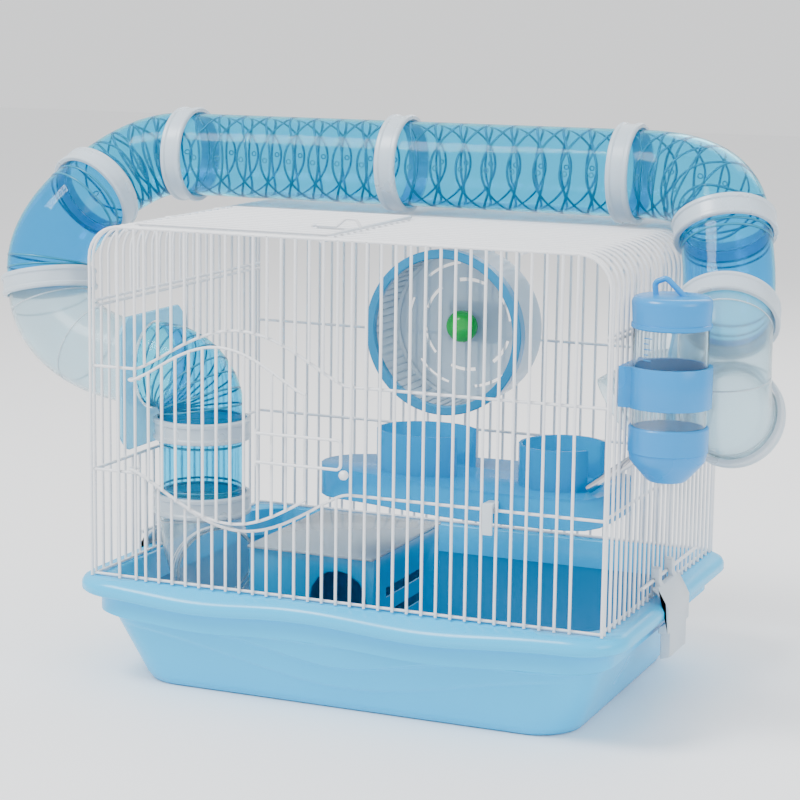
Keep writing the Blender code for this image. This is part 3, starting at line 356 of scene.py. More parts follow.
def run_tree(name, tree, verts, edges, faces=(), **values):
    """Feeds a bare mesh through a node tree, with its named inputs set, and keeps the result."""
    mesh = bpy.data.meshes.new(name)
    mesh.from_pydata([tuple(v) for v in verts], edges, list(faces))
    obj = bpy.data.objects.new(name, mesh)
    bpy.context.scene.collection.objects.link(obj)
    modifier = obj.modifiers.new("made by nodes", "NODES")
    modifier.node_group = tree
    for item in tree.interface.items_tree:
        key = item.name.lower().replace(" ", "_")
        if item.item_type == "SOCKET" and item.in_out == "INPUT" and key in values:
            modifier[item.identifier] = values[key]
    return settle(obj)


drawn_wire = wire_tree()


def wires(name, paths, mat, width=DRAWN_WIRE, bend=0.003, steps=5, sides=10):
    """One piece made of every path, each drawn as round wire."""
    verts, edges = [], []
    for path in paths:
        edges += [(len(verts) + i, len(verts) + i + 1) for i in range(len(path) - 1)]
        verts += path
    return run_tree(
        name, drawn_wire, verts, edges, wire_width=width, bend_radius=bend, bend_steps=steps, sides=sides, finish=mat,
    )


def wave(start_x, end_x, base_z, height, count=25):
    """(x, z) points of a rail that leaves its level in one long hump, up or down."""
    xs = np.linspace(start_x, end_x, count)
    humps = [abs(math.sin(math.pi * (x - start_x) / (end_x - start_x))) ** 1.2 for x in xs]
    return [(x, base_z + height * hump) for x, hump in zip(xs, humps)]


def height_on(line, x):
    """How high a rail runs at x."""
    xs, zs = zip(*line)
    return float(np.interp(x, xs, zs))


white_coat = finish("white dipped wire", (0.80, 0.815, 0.84), (0.74, 0.76, 0.79), (0.22, 0.38), 60, 900, 0.06)
doorway_right = DOOR_LEFT_X + DOORWAY_W
doorway_high = wave(DOOR_LEFT_X, doorway_right, HIGH_RAIL_Z, WAVE_RISE)
doorway_low = wave(DOOR_LEFT_X, doorway_right, LOW_RAIL_Z, -WAVE_DROP)
column_x = list(np.linspace(-CAGE_HALF_W + ROUND_R, CAGE_HALF_W - ROUND_R, 33))
inside = WIRE - WELD
for y, back in ((-CAGE_HALF_D, inside), (CAGE_HALF_D, -inside)):
    corners = ((-CAGE_HALF_W, FOOT_Z), (-CAGE_HALF_W, CAGE_TOP), (CAGE_HALF_W, CAGE_TOP), (CAGE_HALF_W, FOOT_Z))
    paths = [[(x, y, z) for x, z in corners]]
    is_front = y < 0
    for x in ([DOOR_LEFT_X] if is_front else []) + column_x:
        if is_front and x != DOOR_LEFT_X and abs(x - DOOR_LEFT_X) < 2 * WIRE:
            continue
        if is_front and DOOR_LEFT_X + WIRE < x < doorway_right - WIRE:
            paths.append([(x, y, height_on(doorway_high, x)), (x, y, CAGE_TOP)])
            paths.append([(x, y, FOOT_Z), (x, y, height_on(doorway_low, x))])
        else:
            paths.append([(x, y, FOOT_Z), (x, y, CAGE_TOP)])
    end = CAGE_HALF_W - 0.0008
    paths.append([(-end, y + back, FOOT_Z + WIRE / 2), (end, y + back, FOOT_Z + WIRE / 2)])
    if is_front:
        for base, line in ((HIGH_RAIL_Z, doorway_high), (LOW_RAIL_Z, doorway_low)):
            paths.append([(x, y + back, z) for x, z in [(-end, base)] + line + [(end, base)]])
        fit(wires("front_wires", paths, white_coat, bend=ROUND_R, steps=7), "cage", "wire", "cage_front_panel")
        continue
    fit(wires("back_wires", paths, white_coat, bend=ROUND_R, steps=7), "cage", "wire", "cage_back_panel")
    for node, z in (("back_lower_rail", LOW_RAIL_Z), ("back_upper_rail", HIGH_RAIL_Z)):
        rail = [(x, y + back, z) for x in (-end, end)]
        fit(wires(node + "_wire", [rail], white_coat), "cage", "wire", node)

hoop_y = np.linspace(-CAGE_HALF_D + 2 * WIRE, CAGE_HALF_D - 2 * WIRE, 25)
left, right, top = -CAGE_HALF_W, CAGE_HALF_W, CAGE_TOP
plate_lap = 0.006
paths = []
for y in hoop_y:
    left_cut = abs(y - LEFT_PORT[0]) < PORT_PLATE / 2 - plate_lap
    right_cut = abs(y - RIGHT_PORT[0]) < PORT_PLATE / 2 - plate_lap
    left_leg = [(left, y, SIDE_RAIL_Z if left_cut else FOOT_Z), (left, y, top)]
    right_leg = [(right, y, top), (right, y, SIDE_RAIL_Z if right_cut else FOOT_Z)]
    if HATCH_Y[0] < y < HATCH_Y[1]:
        paths += [left_leg + [(HATCH_X[0], y, top)], [(HATCH_X[1], y, top)] + right_leg]
    else:
        paths.append(left_leg + right_leg)
    if left_cut:
        paths.append([(left, y, FOOT_Z), (left, y, LOW_RAIL_Z)])
    if right_cut:
        paths.append([(right, y, FOOT_Z), (right, y, LOW_RAIL_Z)])
end = CAGE_HALF_D - 1.3 * WIRE
side_rail_heights = (FOOT_Z + WIRE / 2, LOW_RAIL_Z, SIDE_RAIL_Z - 0.0016, SIDE_RAIL_Z + 0.0018)
for x in (left + inside, right - inside):
    paths += [[(x, -end, z), (x, end, z)] for z in side_rail_heights]
paths += [[(x, -end, top - inside), (x, end, top - inside)] for x in (*HATCH_X, right - 0.056)]
paths += [[(HATCH_X[0], y, top), (HATCH_X[1], y, top)] for y in HATCH_Y]
fit(wires("side_and_roof_wires", paths, white_coat, bend=ROUND_R, steps=7), "cage", "wire", "cage_side_top_wrap")


# The front door: the same wire, waved to sit inside the doorway, with curled ends that turn on an upright.
# A sliding bolt of bent wire, with a small ball grip, holds its free edge.
door_right = DOOR_LEFT_X + DOOR_W
door_high = wave(DOOR_LEFT_X, door_right, HIGH_RAIL_Z - 0.0065, WAVE_RISE - 0.004)
door_sag = (DOOR_LEFT_X, doorway_right - 0.009, LOW_RAIL_Z + 0.003, 0.002 - WAVE_DROP)
door_low = [point for point in wave(*door_sag, 33) if point[0] < door_right]
door_low.append((door_right, height_on(wave(*door_sag), door_right)))
door_y = -CAGE_HALF_D - WIRE - GAP
curl_r = (WIRE + GAP) * 1.3
paths = []
for line in (door_high, door_low):
    curl = [
        (DOOR_LEFT_X + curl_r * math.cos(a), -CAGE_HALF_D + curl_r * math.sin(a), line[0][1])
        for a in np.radians(np.linspace(60, 270, 14))
    ]
    paths.append(curl + [(x, door_y, z) for x, z in line[2:]])
door_x = [DOOR_LEFT_X + PITCH + WIRE]
while door_x[-1] + PITCH < door_right - PITCH / 2:
    door_x.append(door_x[-1] + PITCH)
for x in door_x + [door_right]:
    depth = door_y if x == door_right else door_y - inside
    paths.append([(x, depth, height_on(door_low, x)), (x, depth, height_on(door_high, x))])
fit(wires("door_wires", paths, white_coat), "front_door", "wire", "front_door")

bolt_y = door_y - 2 * WIRE + WELD - GAP
bolt_left, bolt_right = (door_x + [door_right])[-4], doorway_right + 0.001
bolt_low, bolt_high = 0.1565, 0.1745
bolt_ends = ((bolt_left, bolt_high), (bolt_right, bolt_high), (bolt_right, bolt_low), (bolt_left, bolt_low))
bolt = [(x, bolt_y, z) for x, z in bolt_ends]
tail = [(bolt_left, bolt_y, bolt_low - WIRE), (bolt_left, bolt_y, bolt_high + WIRE)]
fit(wires("door_bolt", [bolt, tail], white_coat), "door_latch", "wire", "door_latch")


def lathe(name, profile, at, axis, mat, sides=48, smooth=35):
    """A closed (radius, height) outline turned about an axis."""
    axis = Vector(axis).normalized()
    side = axis.cross(Vector((0, 1, 0) if abs(axis.z) > 0.9 else (0, 0, 1))).normalized()
    up = axis.cross(side)
    rings = []
    for radius, height in list(profile) + [profile[0]]:
        centre = Vector(at) + axis * height
        rings.append([
            centre + (side * math.cos(a) + up * math.sin(a)) * max(radius, 1e-7)
            for a in np.linspace(0, 2 * math.pi, sides, endpoint=False)
        ])
    return piece(name, *loft(rings, closed_ends=False), mat, smooth)


grip_profile = [
    (0, -0.001), (0.0016, -0.0006), (0.0028, 0.0006), (0.003, 0.002), (0.0028, 0.0034), (0.0016, 0.0046), (0, 0.005),
]
grip = lathe("door_bolt_grip", grip_profile, (bolt_right, bolt_y, bolt_low - 0.003), (1, 0, 0), white_coat, 20)
fit(grip, "door_latch", "wire")


# The roof hatch: a flat lid of wires that lies on the roof and curls round one crosswire.
# A hooked wire slides along it to catch the crosswire at its free edge.
hatch_z = CAGE_TOP + DRAWN_WIRE + GAP
bar_x, free_x = HATCH_X[0] + 0.006, HATCH_X[1] + 0.004
near_y, far_y = HATCH_Y[0] - WIRE, HATCH_Y[1] + WIRE
corners = ((bar_x, near_y), (free_x, near_y), (free_x, far_y), (bar_x, far_y))
paths = [[(x, y, hatch_z) for x, y in corners]]
paths.append([(bar_x, near_y - WIRE / 2, hatch_z), (bar_x, far_y + WIRE / 2, hatch_z)])
for y in np.linspace(near_y, far_y, round((far_y - near_y) / PITCH) + 1)[1:-1]:
    paths.append([(bar_x, y, hatch_z), (free_x, y, hatch_z)])
for y in (hoop_y[5] + PITCH / 2, hoop_y[12] + PITCH / 2):
    curl = [
        (HATCH_X[0] + curl_r * math.cos(a), y, CAGE_TOP - inside + curl_r * math.sin(a))
        for a in np.radians(np.linspace(300, 90, 14))
    ]
    paths.append(curl + [(bar_x + WIRE, y, hatch_z)])
fit(wires("hatch_wires", paths, white_coat, bend=0.0025), "top_hatch", "wire", "top_hatch")
hook_z, hook_y, hook_x = CAGE_TOP + 2 * DRAWN_WIRE + 2 * GAP, -CAGE_HALF_D + 0.035, HATCH_X[1]
hook = [(-0.018, 0), (-0.004, 0), (0.002, 0.005), (0.009, 0.005), (0.012, 0)]
paths = [[(hook_x + dx, hook_y, hook_z + dz) for dx, dz in hook]]
paths.append([(hook_x - 0.018, hook_y - 0.006, hook_z), (hook_x - 0.018, hook_y + 0.006, hook_z)])
fit(wires("hatch_hook", paths, white_coat), "hatch_latch", "wire", "hatch_latch")


# The side clips: tongues of frosted white plastic, each hung by two hooks on a short bar between the side wires.
# Each grips the tray's lip from below, and its edges are softened as a moulding's are.
def softened(name, node, mat, width=0.0006, steps=2):
    """The node's own shape, merged into clean faces, with its edges rounded over."""
    bm = bmesh.new()
    bm.from_mesh(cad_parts[node].data)
    bmesh.ops.remove_doubles(bm, verts=bm.verts, dist=2e-6)
    bmesh.ops.dissolve_limit(bm, angle_limit=math.radians(1.5), verts=bm.verts, edges=bm.edges)
    mesh = bpy.data.meshes.new(name)
    bm.to_mesh(mesh)
    bm.free()
    obj = bpy.data.objects.new(name, mesh)
    bpy.context.scene.collection.objects.link(obj)
    bevel = obj.modifiers.new("softened edges", "BEVEL")
    bevel.width, bevel.segments = width, steps
    bevel.limit_method, bevel.angle_limit = "ANGLE", math.radians(40)
    settle(obj)
    obj.data.materials.clear()
    obj.data.materials.append(mat)
    obj.data.shade_smooth()
    obj.data.set_sharp_from_angle(angle=math.radians(32))
    return obj


frosted = finish(
    "frosted white plastic", (0.70, 0.775, 0.84), (0.63, 0.72, 0.80), (0.30, 0.45), 25, 500, 0.06, clear=0.25,
)
for side_name, sign in (("left", -1), ("right", 1)):
    clip = side_name + "_clip"
    fit(softened(clip + "_tongue", clip, frosted, 0.0007), clip, "milky", clip)
    bar_at = sign * (CAGE_HALF_W + WIRE + GAP)
    bar = wires(clip + "_rod", [[(bar_at, -0.0505, 0.0835), (bar_at, 0.0705, 0.0835)]], white_coat, WIRE)
    fit(bar, "cage", "wire", clip + "_bar")
fit(softened("platform_tab", "platform_clip", frosted, 0.0005), "cage", "milky", "platform_clip")


# The tunnel: clear and tinted tubes pushed into milky collars, over the roof and in through both sides.
# The roof tubes and their first bends carry waved ribs that cross, and every end is a slightly thicker band.
TUBE_OD, TUBE_WALL = 0.057, 0.0020
TUBE_SIDES = 56
SEAT = (TUBE_OD / 2 + GAP) / math.cos(math.pi / 16)
COLLAR_T, COLLAR_L = 0.0030, 0.014
IN_COLLAR, IN_PLATE, FREE_END = COLLAR_L / 2 + 2 * GAP, WIRE / 2 + 0.0025 + 2 * GAP, 2 * GAP
ROOF_TUBE_Y, ROOF_TUBE_Z = 0.0515, CAGE_TOP + WIRE / 2 + SEAT + COLLAR_T + GAP
tint = finish("clear sky tube", (0.12, 0.80, 1.0), (0.09, 0.76, 1.0), (0.03, 0.08), 14, 200, 0.04, clear=0.96, ior=1.16)
tint_deep = finish(
    "clear deep blue tube", (0.06, 0.66, 0.98), (0.04, 0.62, 0.96), (0.03, 0.09), 14, 200, 0.04, clear=0.95, ior=1.2,
)
rib_blue = finish("teal tube ribs", (0.0, 0.24, 0.40), (0.0, 0.20, 0.36), (0.18, 0.30), 30, 300, 0.05)
colourless = finish(
    "frosted clear tube", (0.80, 0.93, 0.98), (0.74, 0.90, 0.96), (0.10, 0.22), 14, 220, 0.08, clear=0.88, ior=1.2,
)
milky = finish("milky collar", (0.70, 0.79, 0.86), (0.64, 0.745, 0.83), (0.22, 0.36), 30, 500, 0.05, clear=0.3)


def run_between(start, end, leads, count=17):
    """The centre line between two collars, straight inside each one, and one curve between them."""
    (p0, d0), (p1, d1) = start, end
    d0, d1 = Vector(d0).normalized(), Vector(d1).normalized()
    a, b = Vector(p0) + d0 * leads[0], Vector(p1) - d1 * leads[1]
    chord, cosine = b - a, d0.dot(d1)
    turn = math.acos(cosine)
    reach = np.linalg.solve([[1, cosine], [cosine, 1]], [chord.dot(d0), chord.dot(d1)])
    share = (4 / 3) * math.tan(turn / 4) / math.tan(turn / 2)
    grip = np.clip(reach * share, 0.25 * chord.length, 0.9 * chord.length)
    points = [Vector(p0) + d0 * GAP]
    for t in np.linspace(0, 1, count):
        s = 1 - t
        pulled = (a + d0 * grip[0]) * (3 * s * s * t) + (b - d1 * grip[1]) * (3 * s * t * t)
        points.append(a * s**3 + pulled + b * t**3)
    return points + [Vector(p1) - d1 * GAP]


def carried(points):
    """(point, side, up, distance along) down a path, turned with it and never twisted."""
    last = len(points) - 1
    tangents = [(points[min(i + 1, last)] - points[max(i - 1, 0)]).normalized() for i in range(last + 1)]
    side = tangents[0].cross(Vector((0, 1, 0) if abs(tangents[0].z) > 0.9 else (0, 0, 1))).normalized()
    found, along = [], 0.0
    for i, tangent in enumerate(tangents):
        along += (points[i] - points[i - 1]).length if i else 0.0
        side = (side - tangent * side.dot(tangent)).normalized()
        found.append((points[i], side, tangent.cross(side), along))
    return found


def tube_shell(name, frames, mat, band=0.006, proud=0.0004):
    """An open tube with real walls, a little thicker in a band at each end."""
    total = frames[-1][3]
    rings = []
    for way, radius in ((frames, TUBE_OD / 2 - proud), (frames[::-1], TUBE_OD / 2 - TUBE_WALL)):
        for point, side, up, along in way:
            lift = proud * (along < band or along > total - band) if way is frames else 0.0
            rings.append([point + (side * math.cos(a) + up * math.sin(a)) * (radius + lift)
                          for a in np.linspace(0, 2 * math.pi, TUBE_SIDES, endpoint=False)])
    rings.append(rings[0])
    return piece(name, *loft(rings, closed_ends=False), mat, 50)


def on_tube(frames, along, angle, radius=TUBE_OD / 2 - 0.0013):
    """The point at a distance along a tube and an angle round it, where 0 faces the front."""
    lengths = [f[3] for f in frames]
    k = int(np.clip(np.searchsorted(lengths, along) - 1, 0, len(frames) - 2))
    t = (along - lengths[k]) / max(lengths[k + 1] - lengths[k], 1e-9)
    centre, side, up = (frames[k][n].lerp(frames[k + 1][n], t) for n in range(3))
    return centre + (side * math.cos(angle) + up * math.sin(angle)) * radius


def waved_rings(frames, count, clear_end=0.008):
    """Pairs of closed ribs that wave to and fro as they go round, so that they cross and make a row of ovals."""
    pitch = (frames[-1][3] - 2 * clear_end) / count
    sway, lean = 0.355, 0.155
    return [
        [on_tube(frames, clear_end + (k + 0.5) * pitch + hand * pitch * (sway * math.cos(2 * a) - lean), a)
         for a in np.linspace(0, 2 * math.pi, 61)]
        for k in range(count) for hand in (1, -1)
    ]


def air_holes(frames, count, clear_end=0.008, radius=0.0015):
    """The small rims of the air holes, in one row down the front of a tube and one down its back."""
    pitch = (frames[-1][3] - 2 * clear_end) / count
    tube_r, proud_r = TUBE_OD / 2, TUBE_OD / 2 - 0.0004
    turn = np.linspace(0, 2 * math.pi, 13)
    return [
        [on_tube(frames, middle + radius * math.cos(a), half + radius * math.sin(a) / tube_r, proud_r) for a in turn]
        for middle in (clear_end + (k + 0.5) * pitch for k in range(count)) for half in (0, math.pi)
    ]


def hoop_paths(frames, spots):
    """Closed rings round a tube at the given shares of its length."""
    turn = np.linspace(0, 2 * math.pi, 41)
    return [[on_tube(frames, spot * frames[-1][3], a, TUBE_OD / 2 - 0.0008) for a in turn] for spot in spots]


def fine_wires(name, paths, mat, width, sides=8):
    """Wires whose paths are already smooth, so that their corners need no rounding."""
    return wires(name, paths, mat, width, bend=0.0, steps=1, sides=sides)


top_left = Vector((left - 0.019, ROOF_TUBE_Y, ROOF_TUBE_Z))
top_right = Vector((right - 0.044, ROOF_TUBE_Y, ROOF_TUBE_Z))
top_mid = (top_left + top_right) / 2


def from_roof(x, dy, dz, direction):
    """A collar's place and direction, measured from the roof tunnel's centre line."""
    return (Vector((x, ROOF_TUBE_Y + dy, ROOF_TUBE_Z + dz)), direction)


left_run = [
    (top_left, (-1, 0, 0)), from_roof(left - 0.074, -0.036, -0.0265, (-0.24, -0.86, -0.46)),
    from_roof(left - 0.0905, -0.0705, -0.086, (0.20, -0.19, -0.96)), (Vector((left, *LEFT_PORT)), (1, 0, 0)),
]
right_run = [
    (top_right, (1, 0, 0)), from_roof(right + 0.029, -0.0365, -0.0285, (0.28, -0.53, -0.80)),
    from_roof(right + 0.0415, -0.0715, -0.0775, (0.18, -0.76, -0.62)),
    from_roof(right + 0.044, -0.061, -0.1395, (-0.05, 0.94, -0.35)), (Vector((right, *RIGHT_PORT)), (-1, 0, 0)),
]
drop_end = TUBE_OD / 2 + 8 * GAP + IN_COLLAR
joint_1 = Vector((left + SEAT + COLLAR_T + 1.5 * WIRE + GAP, LEFT_PORT[0] - 0.004, LEFT_PORT[1] - drop_end))
joint_2 = joint_1 - Vector((0, 0, 0.050))
left_mouth = joint_2 + Vector((0.025, -0.025, -drop_end))
right_mouth = Vector((right - 0.038, RIGHT_PORT[0] - 0.009, RIGHT_PORT[1] - 0.012))
down = (0, 0, -1)
both, to_plate = (IN_COLLAR, IN_COLLAR), (IN_COLLAR, IN_PLATE)
tube_list = [
    ("top_tube_left", (top_left, (1, 0, 0)), (top_mid, (1, 0, 0)), None, tint, "lattice"),
    ("top_tube_right", (top_mid, (1, 0, 0)), (top_right, (1, 0, 0)), None, tint, "lattice"),
    ("left_elbow_1", left_run[0], left_run[1], both, tint, "lattice"),
    ("left_elbow_2", left_run[1], left_run[2], both, tint_deep, "bands"),
    ("left_elbow_3", left_run[2], left_run[3], to_plate, colourless, "dashes"),
    ("right_elbow_1", right_run[0], right_run[1], both, tint, "lattice"),
    ("right_elbow_2", right_run[1], right_run[2], both, tint_deep, "bands"),
    ("right_elbow_3", right_run[2], right_run[3], both, colourless, "dashes"),
    ("right_elbow_4", right_run[3], right_run[4], to_plate, colourless, "dashes"),
    ("left_inner_elbow", (left_run[3][0], (1, 0, 0)), (joint_1, down), (IN_PLATE, IN_COLLAR), tint, "rings"),
    ("left_inner_tube", (joint_1, down), (joint_2, down), None, tint, "bands"),
    ("left_inner_mouth", (joint_2, down), (left_mouth, (1, -1, 0)), (IN_COLLAR, FREE_END), colourless, "bands"),
    (
        "right_inner_mouth", (right_run[4][0], (-1, 0, 0)), (right_mouth, (-0.80, -0.2, -0.57)),
        (IN_PLATE, FREE_END), colourless, "bands",
    ),
]
for node, start, end_frame, leads, mat, pattern in tube_list:
    if leads:
        line = run_between(start, end_frame, leads)
    else:
        step = (end_frame[0] - start[0]).normalized() * GAP
        line = [(start[0] + step).lerp(end_frame[0] - step, t) for t in np.linspace(0, 1, 25)]
    frames = carried(line)
    clear = mat == colourless
    slot = "clear" if clear else "clear_blue"
    fit(tube_shell(node + "_shell", frames, mat), "cage", slot, node)
    if pattern == "lattice":
        count = 8 if "top" in node else 5
        ribs = fine_wires(node + "_ribs", waved_rings(frames, count), rib_blue, 0.0017)
        fit(fine_wires(node + "_holes", air_holes(frames, count), rib_blue, 0.0008, 6), "cage", "clear_blue")
    elif pattern == "rings":
        ribs = fine_wires(node + "_ribs", hoop_paths(frames, np.linspace(0.1, 0.9, 9)), rib_blue, 0.0014)
    elif pattern == "bands":
        band_mat = milky if clear else rib_blue
        ribs = fine_wires(node + "_ribs", hoop_paths(frames, (0.13, 0.2, 0.8, 0.87)), band_mat, 0.0016)
    else:
        ribs = fine_wires(node + "_ribs", hoop_paths(frames, (0.12, 0.5, 0.88)), milky, 0.0011)
    fit(ribs, "cage", "milky" if clear else "clear_blue")

collar_r, half_l = SEAT + COLLAR_T, COLLAR_L / 2
collar_half = [
    (SEAT, half_l), (collar_r - 0.0008, half_l), (collar_r, half_l - 0.0008),
    (collar_r, half_l - 0.0026), (collar_r - 0.0009, half_l - 0.0036),
]
collar_outline = [(radius, -height) for radius, height in collar_half] + collar_half[::-1]
collar_list = [(f"top_collar_{i}", at, (1, 0, 0)) for i, at in enumerate((top_left, top_mid, top_right), 1)]
collar_list += [(f"left_collar_{i}", *left_run[i]) for i in (1, 2)]
collar_list += [(f"right_collar_{i}", *right_run[i]) for i in (1, 2, 3)]
collar_list += [("left_inner_collar_1", joint_1, down), ("left_inner_collar_2", joint_2, down)]
for node, at, axis in collar_list:
    fit(lathe(node + "_ring", collar_outline, at, axis, milky, 56), "cage", "milky", node)


# The port plates: square panels of pale blue plastic outside the wires, each with a round socket for the tunnel.
# Their corners are rounded, and a low rim stiffens the outer edge.
def plate_ring(at, half, x, socket=None, steps=96):
    """Points round a square with trimmed corners, or round the socket when its radius is given."""
    points = []
    for a in np.linspace(0, 2 * math.pi, steps, endpoint=False):
        c, s = math.cos(a), math.sin(a)
        reach = socket or half * min(1 / max(abs(c), abs(s)), 1.27)
        points.append(Vector((x, at[0] + reach * c, at[1] + reach * s)))
    return points


plate_tint = finish(
    "pale blue plate", (0.30, 0.76, 0.98), (0.25, 0.72, 0.96), (0.15, 0.28), 16, 400, 0.05, clear=0.55, ior=1.2,
)
for side_name, sign, port in (("left", -1, LEFT_PORT), ("right", 1, RIGHT_PORT)):
    x0 = sign * (CAGE_HALF_W + WIRE / 2 + GAP)
    middle, half = (port[0], PORT_PLATE_Z), PORT_PLATE / 2
    x1, x2 = x0 + sign * 0.0016, x0 + sign * 0.0025
    edge = [
        (half - 0.0004, x0), (half, x0 + sign * 0.0004), (half, x2 - sign * 0.0004), (half - 0.0004, x2),
        (half - 0.0022, x2), (half - 0.0026, x1),
    ]
    rings = [plate_ring(port, 0, x0, SEAT)] + [plate_ring(middle, size, x) for size, x in edge]
    rings += [plate_ring(port, 0, x, socket) for x, socket in ((x1, SEAT + 0.0030), (x2, SEAT + 0.0026), (x2, SEAT))]
    rings.append(rings[0])
    panel = piece(side_name + "_port_panel", *loft(rings, closed_ends=False), plate_tint, 30)
    fit(panel, "cage", "clear_blue", side_name + "_port_plate")


# The running wheel: a pale drum that spins on a fixed pin, with a deep blue band round its open front.
# Ridges across the track give grip, the back is pierced by slots, and a green cap ends the pin.
WHEEL_R, WHEEL_DEPTH = 0.056, 0.048
WHEEL_AT = Vector((-0.0015, 0, 0.216))
wheel_back = CAGE_HALF_D - 0.018
wheel_front = wheel_back - WHEEL_DEPTH
drum_r = WHEEL_R - 0.002
pale_drum = finish(
    "pale wheel plastic", (0.66, 0.78, 0.87), (0.60, 0.74, 0.85), (0.16, 0.28), 18, 420, 0.05, clear=0.45, ior=1.2,
)
deep_blue = finish("deep blue plastic", (0.0, 0.26, 0.50), (0.0, 0.235, 0.47), (0.20, 0.32), 22, 420, 0.05)
drum_outline = [
    (drum_r - 0.002, wheel_front + 0.0053), (drum_r, wheel_front + 0.0053), (drum_r, wheel_back - 0.001),
    (drum_r - 0.001, wheel_back), (drum_r - 0.004, wheel_back), (drum_r - 0.004, wheel_back - 0.002),
    (drum_r - 0.002, wheel_back - 0.0035),
]
fit(lathe("wheel_drum", drum_outline, WHEEL_AT, (0, 1, 0), pale_drum, 96), "wheel", "milky", "running_wheel")


def disc_with_slots(name, inner, outer, y0, y1, slots, mat, turns=144):
    """A flat ring of real thickness, pierced by curved slots."""
    radii = sorted({inner, outer, *(r for slot in slots for r in slot[:2])})
    bm = bmesh.new()
    points = [[bm.verts.new((WHEEL_AT.x + r * math.cos(a), y1, WHEEL_AT.z + r * math.sin(a)))
               for a in np.linspace(0, 2 * math.pi, turns, endpoint=False)] for r in radii]
    for k in range(len(radii) - 1):
        middle = (radii[k] + radii[k + 1]) / 2
        for i in range(turns):
            angle = (i + 0.5) * 360 / turns
            if any(r0 < middle < r1 and (angle - a0) % 360 < span for r0, r1, a0, span in slots):
                continue
            bm.faces.new((points[k][i], points[k][(i + 1) % turns], points[k + 1][(i + 1) % turns], points[k + 1][i]))
    bmesh.ops.delete(bm, geom=[v for v in bm.verts if not v.link_faces], context="VERTS")
    grown = bmesh.ops.extrude_face_region(bm, geom=bm.faces[:])
    moved = [part for part in grown["geom"] if isinstance(part, bmesh.types.BMVert)]
    bmesh.ops.translate(bm, verts=moved, vec=(0, y0 - y1, 0))
    mesh = bpy.data.meshes.new(name)
    bm.to_mesh(mesh)
    bm.free()
    verts, faces = [v.co.copy() for v in mesh.vertices], [tuple(p.vertices) for p in mesh.polygons]
    return piece(name, verts, faces, mat, 30)


pin_hole_r = 0.0034
wheel_slots = [
    (r0, r1, 60 * i + start, 34) for r0, r1, start in ((0.030, 0.0325, 8), (0.042, 0.0440, 38)) for i in range(6)
]
disc_outer = drum_r - 0.0035
back_disc = disc_with_slots(
    "wheel_back", pin_hole_r, disc_outer, wheel_back - 0.002, wheel_back, wheel_slots, pale_drum,
)
fit(back_disc, "wheel", "milky")
boss = [
    (pin_hole_r, wheel_back - 0.0022), (0.0080, wheel_back - 0.0022), (0.0072, wheel_back - 0.0075),
    (0.0066, wheel_back - 0.008), (pin_hole_r, wheel_back - 0.008),
]
fit(lathe("wheel_boss", boss, WHEEL_AT, (0, 1, 0), pale_drum, 32), "wheel", "milky")


def ridge_tree():
    """Sets short bars side by side round the inside of a drum."""
    tree = bpy.data.node_groups.new("track ridges", "GeometryNodeTree")
    face = tree.interface
    face.new_socket("Geometry", in_out="INPUT", socket_type="NodeSocketGeometry")
    for name, kind, value in (("Ridges", "NodeSocketInt", 60), ("Track radius", "NodeSocketFloat", 0.05),
                              ("Ridge length", "NodeSocketFloat", 0.03), ("Ridge width", "NodeSocketFloat", 0.0012)):
        face.new_socket(name, in_out="INPUT", socket_type=kind).default_value = value
    face.new_socket("Finish", in_out="INPUT", socket_type="NodeSocketMaterial")
    face.new_socket("Geometry", in_out="OUTPUT", socket_type="NodeSocketGeometry")
    add, link = tree.nodes.new, tree.links.new
    given, result = add("NodeGroupInput"), add("NodeGroupOutput")
    ring, points = add("GeometryNodeCurvePrimitiveCircle"), add("GeometryNodeCurveToPoints")
    bar, size, copy = add("GeometryNodeMeshCube"), add("ShaderNodeCombineXYZ"), add("GeometryNodeInstanceOnPoints")
    real, paint = add("GeometryNodeRealizeInstances"), add("GeometryNodeSetMaterial")
    move = add("GeometryNodeTransform")
    link(given.outputs["Track radius"], ring.inputs["Radius"])
    link(ring.outputs["Curve"], points.inputs["Curve"])
    link(given.outputs["Ridges"], points.inputs["Count"])
    link(given.outputs["Ridge width"], size.inputs["X"])
    link(given.outputs["Ridge width"], size.inputs["Z"])
    link(given.outputs["Ridge length"], size.inputs["Y"])
    link(size.outputs["Vector"], bar.inputs["Size"])
    link(points.outputs["Points"], copy.inputs["Points"])
    link(points.outputs["Rotation"], copy.inputs["Rotation"])
    link(bar.outputs["Mesh"], copy.inputs["Instance"])
    link(copy.outputs["Instances"], real.inputs["Geometry"])
    move.inputs["Rotation"].default_value = (math.radians(90), 0, 0)
    link(real.outputs["Geometry"], move.inputs["Geometry"])
    link(move.outputs["Geometry"], paint.inputs["Geometry"])
    link(given.outputs["Finish"], paint.inputs["Material"])
    link(paint.outputs["Geometry"], result.inputs["Geometry"])
    return tree


